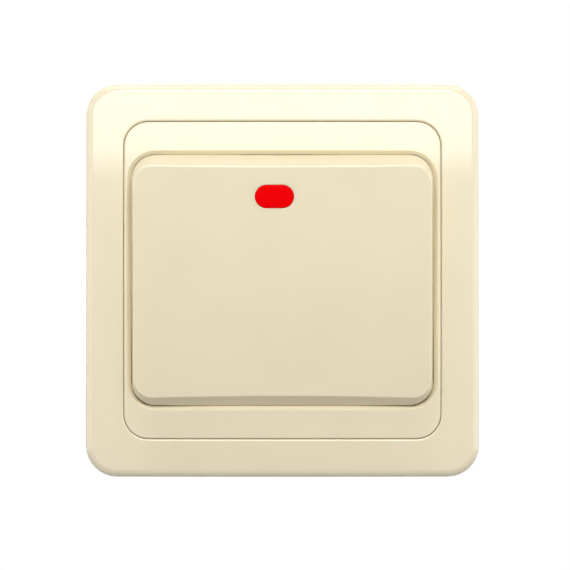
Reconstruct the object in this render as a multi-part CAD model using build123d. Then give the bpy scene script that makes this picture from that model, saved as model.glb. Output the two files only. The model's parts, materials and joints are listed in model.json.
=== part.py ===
from build123d import *
import math
import os

# Single-gang flush rocker light switch with an indicator window, in millimetres.
# Working frame: x right, y up, z out of the wall into the room; the wall face is z = 0.

# Outer frame and cover plate
FRAME_SIZE = 82.0
FRAME_BAND = 8.05
FRAME_CORNER = 6.5
FACE_CROWN = 10.0
DOME_RADIUS = 400.0
SKIN = 2.0
EDGE_ROUND = 2.0
COVER_CORNER = 5.0
SEAM_GAP = 0.08
SEAM_ROUND = 0.5
LIP_ROUND = 0.8
LIP_DEPTH = 1.15
LIP_RELIEF = 0.36
LEDGE_TOP = 5.0
LEDGE_THICK = 1.5
LEDGE_SIDE = 1.05
LEDGE_END = 2.45
LEDGE_CORNER = 4.0
SKIRT_WALL = 1.5
RIB_THICK = 1.0
RIB_LIFT = 4.0
FRAME_RIBS = 3
RIB_ROOT = 0.5
BAND_INNER = 1.45
BAND_OUTER = 1.2

# Rocker key and its indicator window
SIDE_RIM = 1.5
END_BAND = 6.8
SIDE_GAP = 0.12
END_GAP = 0.26
OPENING_CORNER = 5.0
WALL_CORNER = 5.4
FACE_CORNER = 3.6
ROCKER_CROWN = 13.4
ROCKER_DOME = 700.0
ROCKER_WALL = 1.8
ROCKER_ROUND = 1.0
ROCKER_TILT = 4.0
SIDE_DRAFT = 7.0
TOP_DRAFT = 17.0
LOW_DRAFT = 34.5
TOP_STEP = 2.0
LOW_STEP = 2.75
SKIRT_LIFT = 0.7
TRIM = 0.6
PIVOT_Z = 4.0
LENS_X = -1.65
LENS_END = 6.2
LENS_LENGTH = 8.0
LENS_WIDTH = 4.75
LENS_PROUD = 0.2
LENS_FLANGE = 0.9
LENS_FLANGE_THICK = 0.8
LENS_FIT = 0.05
PAD_DEPTH = 0.7
PAD_MARGIN = 1.6
KEY_RIB = 1.0
KEY_RIB_DROP = 2.2
KEY_RIB_X = 15.0
KEY_RIB_CLEAR = 1.5
KEY_RIB_END = 2.4
KEY_RIB_SIDE = 0.5
KEY_FOOT_X = 3.8
KEY_FOOT = 1.2

# Dolly, plunger and spring
SHAFT_R = 1.75
BEARING_FIT = 0.05
EAR_IN = 9.0
EAR_OUT = 11.5
EAR_R = 3.4
EAR_PLAY = 0.3
SHAFT_OVER = 0.4
PLATFORM_LOW = 4.5
PLATFORM_TOP = 7.5
PLATFORM_HALF_Y = 9.0
STEM_R = 3.4
STEM_END = -6.0
PLUNGER_R = 2.2
PLUNGER_FIT = 0.1
PLUNGER_TIP_R = 1.4
PLUNGER_REACH = 13.5
PLUNGER_LENGTH = 8.0
PLUNGER_NECK = 1.1
BORE_TOP = 5.0
SPRING_WIRE = 0.5
SPRING_TURNS = 6
SPRING_PLAY = 0.02
PRONG_Y = 6.5
PRONG_WIDTH = 4.6
PRONG_THICK = 1.6
PRONG_FIT = 0.15
PRONG_HOOK = 0.6
PRONG_CATCH = 0.6
PRONG_TIP = 1.6

# Contact lever, contacts and terminal strips
LEVER_TILT = 11.0
LEVER_HALF = 8.8
LEVER_WIDTH = 5.2
LEVER_THICK = 1.2
LEVER_FOOT = 0.8
LEVER_PLAY = 0.6
KNIFE_R = 0.4
TOUCH_GAP = 0.05
CONTACT_IN = 1.8
CONTACT_R = 1.4
CONTACT_HEAD = 0.8
CONTACT_CAP = 0.35
RIVET_R = 0.8
RIVET_FIT = 0.02
STRIP_THICK = 0.8
STRIP_WIDTH = 5.6
STRIP_BEND = 0.9
STRIP_TAIL = 1.2
STRIP_MARGIN = 0.4
LEG_LIFT = 1.0
CAGE_WALL = 1.0
CAGE_NUT = 1.4
CAGE_HEIGHT = 6.0
CAGE_SLACK = 0.2
CAGE_SIDE = 0.3
CAGE_DROP = 4.4
CAGE_TRAVEL = 2.6
TRAVEL_PLAY = 0.1
NUT_LIFT = 1.2
WIRE_SPACE = 3.1
WIRE_R = 1.45
CLAMP_SCREW_R = 1.5
CLAMP_HEAD_R = 2.6
CLAMP_HEAD = 1.6
HEAD_PLAY = 0.3

# Moulded base and its cover
BASE_WIDTH = 40.0
BASE_CHAMFER = 5.0
BASE_FLOOR = 4.8
LID_THICK = 2.0
INNER_WALL = 1.0
CORE_SIZE = 7.5
CORE_PITCH = 9.5
CORE_DEPTH = 8.0
CORE_CORNER = 1.0
SWAY_PLAY = 0.4
BODY_SCREW_R = 1.0
BODY_SCREW_LENGTH = 9.0
BODY_HEAD_R = 2.2
BODY_HEAD = 1.5
BODY_SCREW_SIDE = 4.5
BODY_SCREW_END = 4.9
PILOT_PLAY = 0.5

# Indicator lamp and its wiring
LAMP_Y = 16.3
LAMP_R = 2.1
LAMP_LOW = -0.6
LAMP_TOP = 7.4
LAMP_FIT = 0.2
LAMP_CAP = 0.4
LAMP_TUBE_WALL = 1.0
LAMP_TUBE_TOP = 5.5
LEAD_R = 0.25
LEAD_HALF_PITCH = 1.2
LEAD_BEND = 0.7
CHANNEL_X = -10.0
CHANNEL_SLACK = 0.25
RESISTOR_R = 1.1
RESISTOR_LENGTH = 6.5

# Mounting plate, claws and claw screws
PLATE_THICK = 1.0
PLATE_MARGIN = 3.5
PLATE_CORNER = 4.0
PLATE_FOLD = 3.0
PLATE_WINDOW_SIDE = 0.8
PLATE_WINDOW_END = 0.7
PLATE_WINDOW_CORNER = 2.0
BOX_PITCH = 60.0
BOX_HOLE_R = 2.2
CLIP_X = 9.0
CLIP_IN = 2.05
CLIP_WIDTH = 5.0
CLIP_THICK = 1.5
CLIP_NOSE = 0.7
CLIP_TIP = 1.8
CLIP_SLOT_IN = 0.4
CLIP_SLOT_OUT = 0.1
CLIP_SLOT_SIDE = 0.3
CLAW_THICK = 1.2
CLAW_HALF = 5.0
CLAW_REACH = 5.9
CLAW_SCREW_ARM = 2.8
CLAW_DROP = 0.5
CLAW_BACK = 17.2
CLAW_ROOT = 0.8
CLAW_GUSSET = 3.0
CLAW_GUSSET_X = 1.3
CLAW_TIP_OUT = 0.8
CLAW_TIP_IN = 3.2
CLAW_TOOTH = 0.9
TOOTH_PITCH = 1.6
TOOTH_LIFT = 1.4
TEETH = 3
CLAW_PLAY = 0.1
CLAW_SLOT = 1.5
CLAW_SLOT_PLAY = 0.15
CLAW_SCREW_R = 1.35
CLAW_SCREW_LENGTH = 16.0
CLAW_HEAD_R = 2.75
CLAW_HEAD = 2.0
DRIVER_SLOT = 0.8
DRIVER_DEPTH = 0.8
HOLE_SLACK = 0.25

# Cover, rocker and plate sizes that follow the frame
COVER_SIZE = FRAME_SIZE - 2 * FRAME_BAND
WINDOW = COVER_SIZE + 2 * SEAM_GAP
OPENING_W = COVER_SIZE - 2 * SIDE_RIM
OPENING_H = COVER_SIZE - 2 * END_BAND
LIP_Z = FACE_CROWN - OPENING_H**2 / (8 * DOME_RADIUS) - LIP_ROUND
ROCKER_W = OPENING_W - 2 * SIDE_GAP
SWEEP_R = math.hypot(OPENING_H / 2 - END_GAP, LIP_Z - PIVOT_Z)
FACE_TOP = OPENING_H / 2 - TOP_STEP
FACE_LOW = OPENING_H / 2 - LOW_STEP
LENS_Y = FACE_TOP - LENS_END
KEY_RIB_Y = LENS_Y - LENS_WIDTH / 2 - PAD_MARGIN - KEY_RIB_CLEAR
SKIRT_LOW = LEDGE_TOP + SKIRT_LIFT
PLATE_SIZE = FRAME_SIZE - 2 * SKIN - 2 * PLATE_MARGIN
CLIP_Y = OPENING_H / 2 + CLIP_IN

# Heights of the contact work, from the rocker's pivot down to the floor of the base
LEVER_Z = PIVOT_Z - PLUNGER_REACH - TOUCH_GAP - LEVER_THICK
CONTACT_ARM = LEVER_HALF - CONTACT_IN
CAP_R = (CONTACT_R**2 + CONTACT_CAP**2) / (2 * CONTACT_CAP)
LEVER_SIN = math.sin(math.radians(LEVER_TILT))
LEVER_COS = math.cos(math.radians(LEVER_TILT))
CLOSED_DROP = CONTACT_ARM * LEVER_SIN + CAP_R - (CAP_R - CONTACT_HEAD) * LEVER_COS
CLOSED_Y = CONTACT_ARM * LEVER_COS + (CAP_R - CONTACT_HEAD) * LEVER_SIN
STRIP_TOP = LEVER_Z - CLOSED_DROP - TOUCH_GAP - CONTACT_HEAD
FLOOR = STRIP_TOP - STRIP_THICK
BASE_BACK = FLOOR - BASE_FLOOR
LID_LOW = -LID_THICK
FOOT_DROP = (LEVER_Z - STRIP_TOP - TOUCH_GAP - LEVER_HALF * LEVER_SIN) / LEVER_COS

# Distances of the terminals from the middle, outwards along y
CHAMBER_HALF = LEVER_HALF + LEVER_PLAY + STRIP_THICK
POCKET_IN = CHAMBER_HALF + INNER_WALL
CAGE_IN = POCKET_IN + CAGE_SLACK
LEG_IN = CAGE_IN + CAGE_WALL + WIRE_SPACE
LEG_OUT = LEG_IN + STRIP_THICK
NUT_IN = LEG_OUT + NUT_LIFT
POCKET_OUT = NUT_IN + CAGE_NUT + CAGE_TRAVEL + TRAVEL_PLAY
WIRE_Y = LEG_IN - WIRE_SPACE / 2
BASE_HEIGHT = 2 * (POCKET_OUT + CLAMP_HEAD + CAGE_SLACK)
CAGE_TOP = LID_LOW - CAGE_DROP
CLAMP_Z = CAGE_TOP - CAGE_HEIGHT / 2
CAGE_HALF = STRIP_WIDTH / 2 + CAGE_SIDE + CAGE_WALL
POCKET_HALF = CAGE_HALF + CAGE_SLACK
BODY_SCREW_X = BASE_WIDTH / 2 - BODY_SCREW_SIDE
BODY_SCREW_Y = BASE_HEIGHT / 2 - BODY_SCREW_END
LEAD_Z = LID_LOW - STRIP_THICK / 2

# Claw fulcrum and screw line beside the base
CLAW_X = BASE_WIDTH / 2 + CLAW_THICK / 2 + CLAW_PLAY
CLAW_Z = LID_LOW - CLAW_THICK / 2 - CLAW_DROP
CLAW_SCREW_X = CLAW_X + CLAW_SCREW_ARM


def block(x_low, x_high, y_low, y_high, z_low, z_high):
    """Box between two corners."""
    middle = Pos((x_low + x_high) / 2, (y_low + y_high) / 2, (z_low + z_high) / 2)
    return middle * Box(x_high - x_low, y_high - y_low, z_high - z_low)


def prism(width, height, radius, z_low, z_high):
    """Rounded rectangle standing from one height to another."""
    return Pos(0, 0, z_low) * extrude(RectangleRounded(width, height, radius), z_high - z_low)


def rod(radius, start, direction, length):
    """Round rod from a point along a direction."""
    return Plane(origin=start, z_dir=direction) * extrude(Circle(radius), length)


def along_x(points, x_low, x_high):
    """Closed profile of (y, z) points drawn out between two x positions."""
    return Plane.YZ.offset(x_low) * extrude(Polygon(*points), x_high - x_low, dir=(0, 0, 1))


def dome(depth):
    """Ball whose surface lies a depth under the shared front crown."""
    return Pos(0, 0, FACE_CROWN - DOME_RADIUS) * Rot(90, 0, 0) * Sphere(DOME_RADIUS - depth)


def rocker_dome(depth):
    """Ball whose surface lies a depth under the rocker's own crown."""
    return Pos(0, 0, ROCKER_CROWN - ROCKER_DOME) * Rot(90, 0, 0) * Sphere(ROCKER_DOME - depth)


def tilted(shape):
    """Rocker-borne shape turned to its rest position, top end out."""
    return Pos(0, 0, PIVOT_Z) * Rot(ROCKER_TILT, 0, 0) * Pos(0, 0, -PIVOT_Z) * shape


def rocked(shape):
    """Lever-borne shape, drawn about its knife edge, in the open position."""
    return Pos(0, 0, LEVER_Z) * Rot(-LEVER_TILT, 0, 0) * shape


def crown_face(shape):
    """Domed front face of a shape."""
    return shape.faces().filter_by(GeomType.SPHERE).sort_by(Axis.Z)[-1]


def outer_frame():
    """Domed square frame with a window, a ledge for the cover plate and ribs at the back."""
    body = prism(FRAME_SIZE, FRAME_SIZE, FRAME_CORNER, 0, FACE_CROWN) & dome(0)
    body = fillet(crown_face(body).edges(), EDGE_ROUND)
    inner = FRAME_SIZE - 2 * SKIN
    body -= prism(inner, inner, FRAME_CORNER - SKIN, 0, FACE_CROWN) & dome(SKIN)
    skirt = WINDOW + 2 * SKIRT_WALL
    foot = LEDGE_TOP - LEDGE_THICK
    body += prism(skirt, skirt, COVER_CORNER + SKIRT_WALL, foot, FACE_CROWN) & dome(SKIN / 2)
    step = skirt / (FRAME_RIBS + 1)
    for turn in range(4):
        for index in range(FRAME_RIBS):
            place = (index - (FRAME_RIBS - 1) / 2) * step
            low = place - RIB_THICK / 2
            high = place + RIB_THICK / 2
            rib = block(skirt / 2 - RIB_ROOT, inner / 2 + RIB_ROOT, low, high, RIB_LIFT, FACE_CROWN)
            body += Rot(0, 0, 90 * turn) * (rib & dome(SKIN / 2))
    body -= prism(WINDOW, WINDOW, COVER_CORNER + SEAM_GAP, LEDGE_TOP, FACE_CROWN)
    body -= prism(WINDOW - 2 * LEDGE_SIDE, WINDOW - 2 * LEDGE_END, LEDGE_CORNER, 0, FACE_CROWN)
    return fillet(crown_face(body).inner_wires()[0].edges(), SEAM_ROUND)


def cover_clip():
    """Spring clip that passes through the mounting plate and hooks behind it."""
    outside = CLIP_Y + CLIP_THICK
    points = [
        (outside, FACE_CROWN),
        (outside, -CLIP_TIP),
        (CLIP_Y, -CLIP_TIP),
        (CLIP_Y - CLIP_NOSE, -CLIP_TIP / 2),
        (CLIP_Y - CLIP_NOSE, -TOUCH_GAP),
        (CLIP_Y, -TOUCH_GAP),
        (CLIP_Y, FACE_CROWN),
    ]
    leg = along_x(points, CLIP_X - CLIP_WIDTH / 2, CLIP_X + CLIP_WIDTH / 2)
    return leg & dome(SKIN / 2)


def cover_plate():
    """Domed plate round the rocker, hollow behind its top and bottom bands, with four clips."""
    body = prism(COVER_SIZE, COVER_SIZE, COVER_CORNER, LEDGE_TOP, FACE_CROWN) & dome(0)
    body -= prism(OPENING_W, OPENING_H, OPENING_CORNER, LEDGE_TOP, FACE_CROWN)
    body = fillet(crown_face(body).outer_wire().edges(), SEAM_ROUND)
    body = fillet(crown_face(body).inner_wires()[0].edges(), LIP_ROUND)
    behind = 2 * LIP_RELIEF
    relief_top = LIP_Z - LIP_DEPTH
    body -= prism(OPENING_W + behind, OPENING_H + behind, OPENING_CORNER + LIP_RELIEF, LEDGE_TOP, relief_top)
    pocket_in = OPENING_H / 2 + BAND_INNER
    pocket_out = COVER_SIZE / 2 - BAND_OUTER
    reach = COVER_SIZE / 2 - COVER_CORNER
    pocket = block(-reach, reach, pocket_in, pocket_out, 0, FACE_CROWN) & dome(SKIN)
    for turn in (0, 180):
        body -= Rot(0, 0, turn) * pocket
    clip = cover_clip()
    for turn in (0, 180):
        body += Rot(0, 0, turn) * clip
        body += Rot(0, 0, turn) * mirror(clip, Plane.YZ)
    return body


def key_outline(height, corner, inset):
    """Outline of the key's drafted walls at a height, moved in by an inset."""
    rise = height - ROCKER_CROWN
    top = FACE_TOP - rise * math.tan(math.radians(TOP_DRAFT)) - inset
    low = FACE_LOW - rise * math.tan(math.radians(LOW_DRAFT)) - inset
    half = ROCKER_W / 2 - (height - LIP_Z) * math.tan(math.radians(SIDE_DRAFT)) - inset
    return Pos(0, (top - low) / 2, height) * RectangleRounded(2 * half, top + low, corner - inset)


def key_block(inset):
    """Solid key moved in by an inset: drafted walls cut by a round-edged drum about the pivot."""
    foot = key_outline(SKIRT_LOW, WALL_CORNER, inset)
    head = key_outline(ROCKER_CROWN + TRIM, FACE_CORNER, inset)
    width = ROCKER_W - 2 * inset
    drum = rod(SWEEP_R - inset, (-width / 2, 0, PIVOT_Z), (1, 0, 0), width)
    drum = fillet(drum.edges().filter_by(GeomType.CIRCLE), OPENING_CORNER - inset)
    return loft([foot, head], ruled=True) & drum


def lens_outline(grow):
    """Stadium outline of the indicator window, grown all round."""
    return Pos(LENS_X, LENS_Y) * SlotOverall(LENS_LENGTH + 2 * grow, LENS_WIDTH + 2 * grow)


def lens_seat():
    """Height of the flat pad behind the rocker's face that the lens flange lies against."""
    return ROCKER_CROWN - ROCKER_WALL - PAD_DEPTH


def rocker_prong():
    """Hooked prong that snaps through the dolly's platform."""
    outside = PRONG_Y + PRONG_THICK / 2
    inside = PRONG_Y - PRONG_THICK / 2
    tip = PLATFORM_LOW - PRONG_TIP
    points = [
        (inside, ROCKER_CROWN),
        (inside, tip),
        (outside, tip),
        (outside + PRONG_HOOK, PLATFORM_LOW - PRONG_CATCH),
        (outside + PRONG_HOOK, PLATFORM_LOW),
        (outside, PLATFORM_LOW),
        (outside, ROCKER_CROWN),
    ]
    return along_x(points, -PRONG_WIDTH / 2, PRONG_WIDTH / 2)


def rocker():
    """Crowned key: a thin shell with ribs, feet on the dolly, prongs and the indicator's window."""
    body = key_block(0) & rocker_dome(0)
    body = fillet(crown_face(body).edges(), ROCKER_ROUND)
    body -= key_block(ROCKER_WALL) & rocker_dome(ROCKER_WALL)
    seat = lens_seat()
    low = ROCKER_CROWN - ROCKER_WALL - KEY_RIB_DROP
    rib_x = ROCKER_W / 2 - ROCKER_WALL - KEY_RIB_SIDE
    rib_y = FACE_LOW - KEY_RIB_END
    half = KEY_RIB / 2
    inside = Pos(0, 0, seat) * extrude(lens_outline(PAD_MARGIN), ROCKER_CROWN - seat)
    prong = rocker_prong()
    inside += prong
    inside += mirror(prong, Plane.XZ)
    for side in (-1, 1):
        x = side * KEY_RIB_X
        y = side * KEY_RIB_Y
        foot = side * KEY_FOOT_X
        inside += block(x - half, x + half, -rib_y, rib_y, low, ROCKER_CROWN)
        inside += block(-rib_x, rib_x, y - half, y + half, low, ROCKER_CROWN)
        near = foot - KEY_FOOT / 2
        far = foot + KEY_FOOT / 2
        inside += block(near, far, -PLATFORM_HALF_Y, PLATFORM_HALF_Y, PLATFORM_TOP, ROCKER_CROWN)
    body += inside & rocker_dome(ROCKER_WALL / 2)
    return body - Pos(0, 0, seat) * extrude(lens_outline(LENS_FIT), ROCKER_CROWN - seat)


def indicator_lens():
    """Stadium lens standing a little proud of the key, with a flange behind it."""
    seat = lens_seat()
    height = ROCKER_CROWN + TRIM - seat
    body = Pos(0, 0, seat) * extrude(lens_outline(0), height) & rocker_dome(-LENS_PROUD)
    body = fillet(crown_face(body).edges(), LENS_PROUD)
    flange = extrude(lens_outline(LENS_FLANGE), LENS_FLANGE_THICK)
    return body + Pos(0, 0, seat - LENS_FLANGE_THICK) * flange


def dolly():
    """Carrier with trunnions, a platform for the rocker and a bored stem for the plunger."""
    reach = EAR_IN - EAR_PLAY
    shaft = EAR_OUT + SHAFT_OVER
    body = block(-reach, reach, -PLATFORM_HALF_Y, PLATFORM_HALF_Y, PLATFORM_LOW, PLATFORM_TOP)
    body += rod(STEM_R, (0, 0, STEM_END), (0, 0, 1), PLATFORM_TOP - STEM_END)
    body += rod(SHAFT_R, (-shaft, 0, PIVOT_Z), (1, 0, 0), 2 * shaft)
    body -= rod(PLUNGER_R + PLUNGER_FIT, (0, 0, STEM_END), (0, 0, 1), BORE_TOP - STEM_END)
    wide = PRONG_WIDTH / 2 + PRONG_FIT
    deep = PRONG_THICK / 2 + PRONG_FIT
    for place in (-PRONG_Y, PRONG_Y):
        body -= block(-wide, wide, place - deep, place + deep, PLATFORM_LOW, PLATFORM_TOP)
    return body


def plunger_tip_z():
    """Height of the plunger's tip with the rocker level."""
    return PIVOT_Z - PLUNGER_REACH


def plunger():
    """Round-ended pin that the spring presses on the contact lever."""
    tip = plunger_tip_z()
    ball = tip + PLUNGER_TIP_R
    with BuildSketch(Plane.XZ) as half:
        with BuildLine():
            Polyline(
                (0, tip + PLUNGER_LENGTH),
                (PLUNGER_R, tip + PLUNGER_LENGTH),
                (PLUNGER_R, ball + PLUNGER_NECK),
                (PLUNGER_TIP_R, ball),
            )
            RadiusArc((PLUNGER_TIP_R, ball), (0, tip), PLUNGER_TIP_R)
            Line((0, tip), (0, tip + PLUNGER_LENGTH))
        make_face()
    return revolve(half.sketch, Axis.Z)


def plunger_spring():
    """Helical spring between the plunger and the blind end of the stem's bore."""
    low = plunger_tip_z() + PLUNGER_LENGTH + SPRING_WIRE / 2 + SPRING_PLAY
    high = BORE_TOP - SPRING_WIRE / 2 - SPRING_PLAY
    coil_r = PLUNGER_R - SPRING_WIRE
    path = Pos(0, 0, low) * Helix((high - low) / SPRING_TURNS, high - low, coil_r)
    section = Plane(origin=path @ 0, z_dir=path % 0) * RegularPolygon(SPRING_WIRE / 2, 8)
    return sweep(section, path=path, is_frenet=True)


def rivet(height, head, shank):
    """Contact rivet: a domed head of a height over a plane, with a shank below the plane."""
    edge = height - CONTACT_CAP
    stem = RIVET_R - RIVET_FIT
    with BuildSketch(Plane.XZ) as half:
        with BuildLine():
            Polyline((0, -shank), (stem, -shank), (stem, 0), (head, 0), (head, edge))
            RadiusArc((head, edge), (0, height), -CAP_R)
            Line((0, height), (0, -shank))
        make_face()
    return revolve(half.sketch, Axis.Z)


def contact_lever():
    """Rocking bar with a half-round groove on the knife edge, a rivet hole and a foot."""
    wide = LEVER_WIDTH / 2
    points = [
        (-LEVER_HALF, 0),
        (-LEVER_HALF, LEVER_THICK),
        (LEVER_HALF, LEVER_THICK),
        (LEVER_HALF, -FOOT_DROP),
        (LEVER_HALF - LEVER_FOOT, -FOOT_DROP),
        (LEVER_HALF - LEVER_FOOT, 0),
    ]
    body = along_x(points, -wide, wide)
    body -= rod(KNIFE_R + BEARING_FIT, (-wide, 0, 0), (1, 0, 0), LEVER_WIDTH)
    return body - rod(RIVET_R, (0, -CONTACT_ARM, 0), (0, 0, 1), LEVER_THICK)


def lever_contact():
    """Moving contact rivet under the lever's lower arm."""
    return Pos(0, -CONTACT_ARM, 0) * Rot(180, 0, 0) * rivet(CONTACT_HEAD, CONTACT_R, LEVER_THICK)


def bent_strip(start):
    """Upper terminal's strip, bent from the base's floor over the inner wall into the clamp."""
    middle = FLOOR + STRIP_THICK / 2
    rise = CHAMBER_HALF - STRIP_THICK / 2
    leg = LEG_IN + STRIP_THICK / 2
    end = FLOOR + LEG_LIFT
    points = [(0, start, middle), (0, rise, middle), (0, rise, LEAD_Z), (0, leg, LEAD_Z), (0, leg, end)]
    path = FilletPolyline(*points, radius=STRIP_BEND)
    across = Plane(origin=points[0], x_dir=(1, 0, 0), z_dir=(0, 1, 0))
    return sweep(across * Rectangle(STRIP_WIDTH, STRIP_THICK), path=path)


def line_terminal():
    """Upper brass strip with the upright knife edge that carries the contact lever."""
    wide = LEVER_WIDTH / 2
    blade = block(-wide, wide, -KNIFE_R, KNIFE_R, STRIP_TOP - STRIP_THICK / 2, LEVER_Z)
    blade += rod(KNIFE_R, (-wide, 0, LEVER_Z), (1, 0, 0), LEVER_WIDTH)
    return bent_strip(-STRIP_TAIL) + blade


def load_terminal():
    """Lower brass strip with the hole for the fixed contact."""
    strip = mirror(bent_strip(CLOSED_Y - CONTACT_R - STRIP_MARGIN), Plane.XZ)
    return strip - rod(RIVET_R, (0, -CLOSED_Y, FLOOR), (0, 0, 1), STRIP_THICK)


def load_contact():
    """Fixed contact rivet on the lower strip."""
    return Pos(0, -CLOSED_Y, STRIP_TOP) * rivet(CONTACT_HEAD, CONTACT_R, STRIP_THICK)


def clamp_cage():
    """Upper terminal's cage: a square ring round the strip, with a nut wall for the screw."""
    middle = CAGE_TOP - CAGE_HEIGHT / 2
    inner = CAGE_HALF - CAGE_WALL
    outside = NUT_IN + CAGE_NUT
    body = block(-CAGE_HALF, CAGE_HALF, CAGE_IN, outside, middle - CAGE_HEIGHT / 2, CAGE_TOP)
    body = fillet(body.edges().filter_by(Axis.Z), CAGE_WALL / 2)
    body -= block(-inner, inner, CAGE_IN + CAGE_WALL, NUT_IN, middle - CAGE_HEIGHT / 2, CAGE_TOP)
    return body - rod(CLAMP_SCREW_R + BEARING_FIT, (0, NUT_IN, CLAMP_Z), (0, 1, 0), CAGE_NUT)


def slotted_screw(shank_r, shank, head_r, head):
    """Slotted screw along z with the seat of its head at z = 0 and the head above."""
    body = rod(head_r, (0, 0, 0), (0, 0, 1), head)
    body = fillet(body.edges().filter_by(GeomType.CIRCLE).sort_by(Axis.Z)[-1], head / 3)
    body -= block(-head_r, head_r, -DRIVER_SLOT / 2, DRIVER_SLOT / 2, head - DRIVER_DEPTH, head)
    stem = rod(shank_r, (0, 0, -shank), (0, 0, 1), shank)
    return body + chamfer(stem.edges().filter_by(GeomType.CIRCLE).sort_by(Axis.Z)[0], shank_r / 4)


def clamp_screw():
    """Upper terminal's screw: its tip bears on the strip and its head lies in the outer wall."""
    seat = POCKET_OUT + CAGE_SLACK / 2
    screw = slotted_screw(CLAMP_SCREW_R, seat - LEG_OUT - TOUCH_GAP, CLAMP_HEAD_R, CLAMP_HEAD)
    return Pos(0, seat, CLAMP_Z) * Rot(-90, 0, 0) * screw


def body_outline():
    """Rectangle with cut corners shared by the base and its cover."""
    outline = Rectangle(BASE_WIDTH, BASE_HEIGHT)
    return chamfer(outline.vertices(), BASE_CHAMFER)


def at_body_screws():
    """Positions of the four screws that hold plate, cover and base together."""
    return [(x, y) for x in (-BODY_SCREW_X, BODY_SCREW_X) for y in (-BODY_SCREW_Y, BODY_SCREW_Y)]


def terminal_hollow():
    """Space of the upper terminal: pocket, notch for the strip, screw slot and wire entry."""
    body = block(-POCKET_HALF, POCKET_HALF, POCKET_IN, POCKET_OUT, FLOOR, LID_LOW)
    notch = STRIP_WIDTH / 2 + CAGE_SLACK
    body += block(-notch, notch, CHAMBER_HALF, POCKET_IN, LEAD_Z - STRIP_BEND - TOUCH_GAP, LID_LOW)
    slot = CLAMP_HEAD_R + HEAD_PLAY
    body += block(-slot, slot, POCKET_OUT, BASE_HEIGHT / 2, CLAMP_Z, LID_LOW)
    body += rod(slot, (0, POCKET_OUT, CLAMP_Z), (0, 1, 0), BASE_HEIGHT / 2 - POCKET_OUT)
    return body + rod(WIRE_R, (0, WIRE_Y, BASE_BACK), (0, 0, 1), FLOOR - BASE_BACK)


def lamp_channel():
    """Grooves in the base's front for the lamp's wiring and its resistor."""
    half = LEAD_R + CHANNEL_SLACK
    low = LEAD_Z - half
    top = LAMP_Y + LEAD_HALF_PITCH
    body = block(CHANNEL_X - half, -POCKET_HALF, top - half, top + half, low, LID_LOW)
    body += block(CHANNEL_X - half, CHANNEL_X + half, -WIRE_Y, top + half, low, LID_LOW)
    body += block(CHANNEL_X - half, -POCKET_HALF, -WIRE_Y - half, -WIRE_Y + half, low, LID_LOW)
    wide = RESISTOR_R + CHANNEL_SLACK
    long = RESISTOR_LENGTH / 2 + CHANNEL_SLACK
    return body + block(CHANNEL_X - wide, CHANNEL_X + wide, -long, long, LEAD_Z - wide, LID_LOW)


def mechanism_base():
    """Moulded base: contact chamber, two terminal pockets, wiring grooves and claw seats."""
    body = Pos(0, 0, BASE_BACK) * extrude(body_outline(), LID_LOW - BASE_BACK)
    body -= block(-POCKET_HALF, POCKET_HALF, -CHAMBER_HALF, CHAMBER_HALF, FLOOR, LID_LOW)
    hollow = terminal_hollow()
    body -= hollow
    body -= mirror(hollow, Plane.XZ)
    body -= lamp_channel()
    for x, y in at_body_screws():
        depth = BODY_SCREW_LENGTH - LID_THICK - PLATE_THICK + PILOT_PLAY
        body -= rod(BODY_SCREW_R + BEARING_FIT, (x, y, LID_LOW - depth), (0, 0, 1), depth)
    core = Pos(0, 0, BASE_BACK) * extrude(RectangleRounded(CORE_SIZE, CORE_SIZE, CORE_CORNER), CORE_DEPTH)
    seat = block(BASE_WIDTH / 2, CLAW_X, -CLAW_HALF, CLAW_HALF, CLAW_Z, LID_LOW)
    seat -= rod(CLAW_THICK / 2 + BEARING_FIT, (CLAW_X, -CLAW_HALF, CLAW_Z), (0, 1, 0), 2 * CLAW_HALF)
    for side in (-1, 1):
        for row in (-1, 0, 1):
            body -= Pos(side * (POCKET_HALF + BASE_WIDTH / 2) / 2, row * CORE_PITCH) * core
        body += seat if side > 0 else mirror(seat, Plane.YZ)
    return body


def bearing_ear():
    """Upright ear with the bearing hole for one trunnion."""
    body = block(EAR_IN, EAR_OUT, -EAR_R, EAR_R, LID_LOW, PIVOT_Z)
    return body + rod(EAR_R, (EAR_IN, 0, PIVOT_Z), (1, 0, 0), EAR_OUT - EAR_IN)


def mechanism_cover():
    """Cover of the base with two bearing ears and a tube that holds the lamp."""
    body = Pos(0, 0, LID_LOW) * extrude(body_outline(), LID_THICK)
    ear = bearing_ear()
    body += ear
    body += mirror(ear, Plane.YZ)
    bore = LAMP_R + LAMP_FIT
    lamp = (LENS_X, LAMP_Y, 0)
    body += rod(bore + LAMP_TUBE_WALL, lamp, (0, 0, 1), LAMP_TUBE_TOP)
    body -= rod(SHAFT_R + BEARING_FIT, (-EAR_OUT, 0, PIVOT_Z), (1, 0, 0), 2 * EAR_OUT)
    body -= rod(bore, (LENS_X, LAMP_Y, LAMP_LOW), (0, 0, 1), LAMP_TUBE_TOP - LAMP_LOW)
    for place in (-LEAD_HALF_PITCH, LEAD_HALF_PITCH):
        body -= rod(LEAD_R + CHANNEL_SLACK, (LENS_X, LAMP_Y + place, LID_LOW), (0, 0, 1), LID_THICK)
    sway = (PIVOT_Z + LID_THICK) * math.tan(math.radians(ROCKER_TILT)) + SWAY_PLAY
    body -= prism(2 * (STEM_R + SWAY_PLAY), 2 * (STEM_R + sway), STEM_R, LID_LOW, 0)
    for x, y in at_body_screws():
        body -= rod(BODY_SCREW_R + HOLE_SLACK, (x, y, LID_LOW), (0, 0, 1), LID_THICK)
    wide = RESISTOR_R + CHANNEL_SLACK
    long = RESISTOR_LENGTH / 2 + CHANNEL_SLACK
    return body - block(CHANNEL_X - wide, CHANNEL_X + wide, -long, long, LID_LOW, LEAD_Z + wide)


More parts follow.
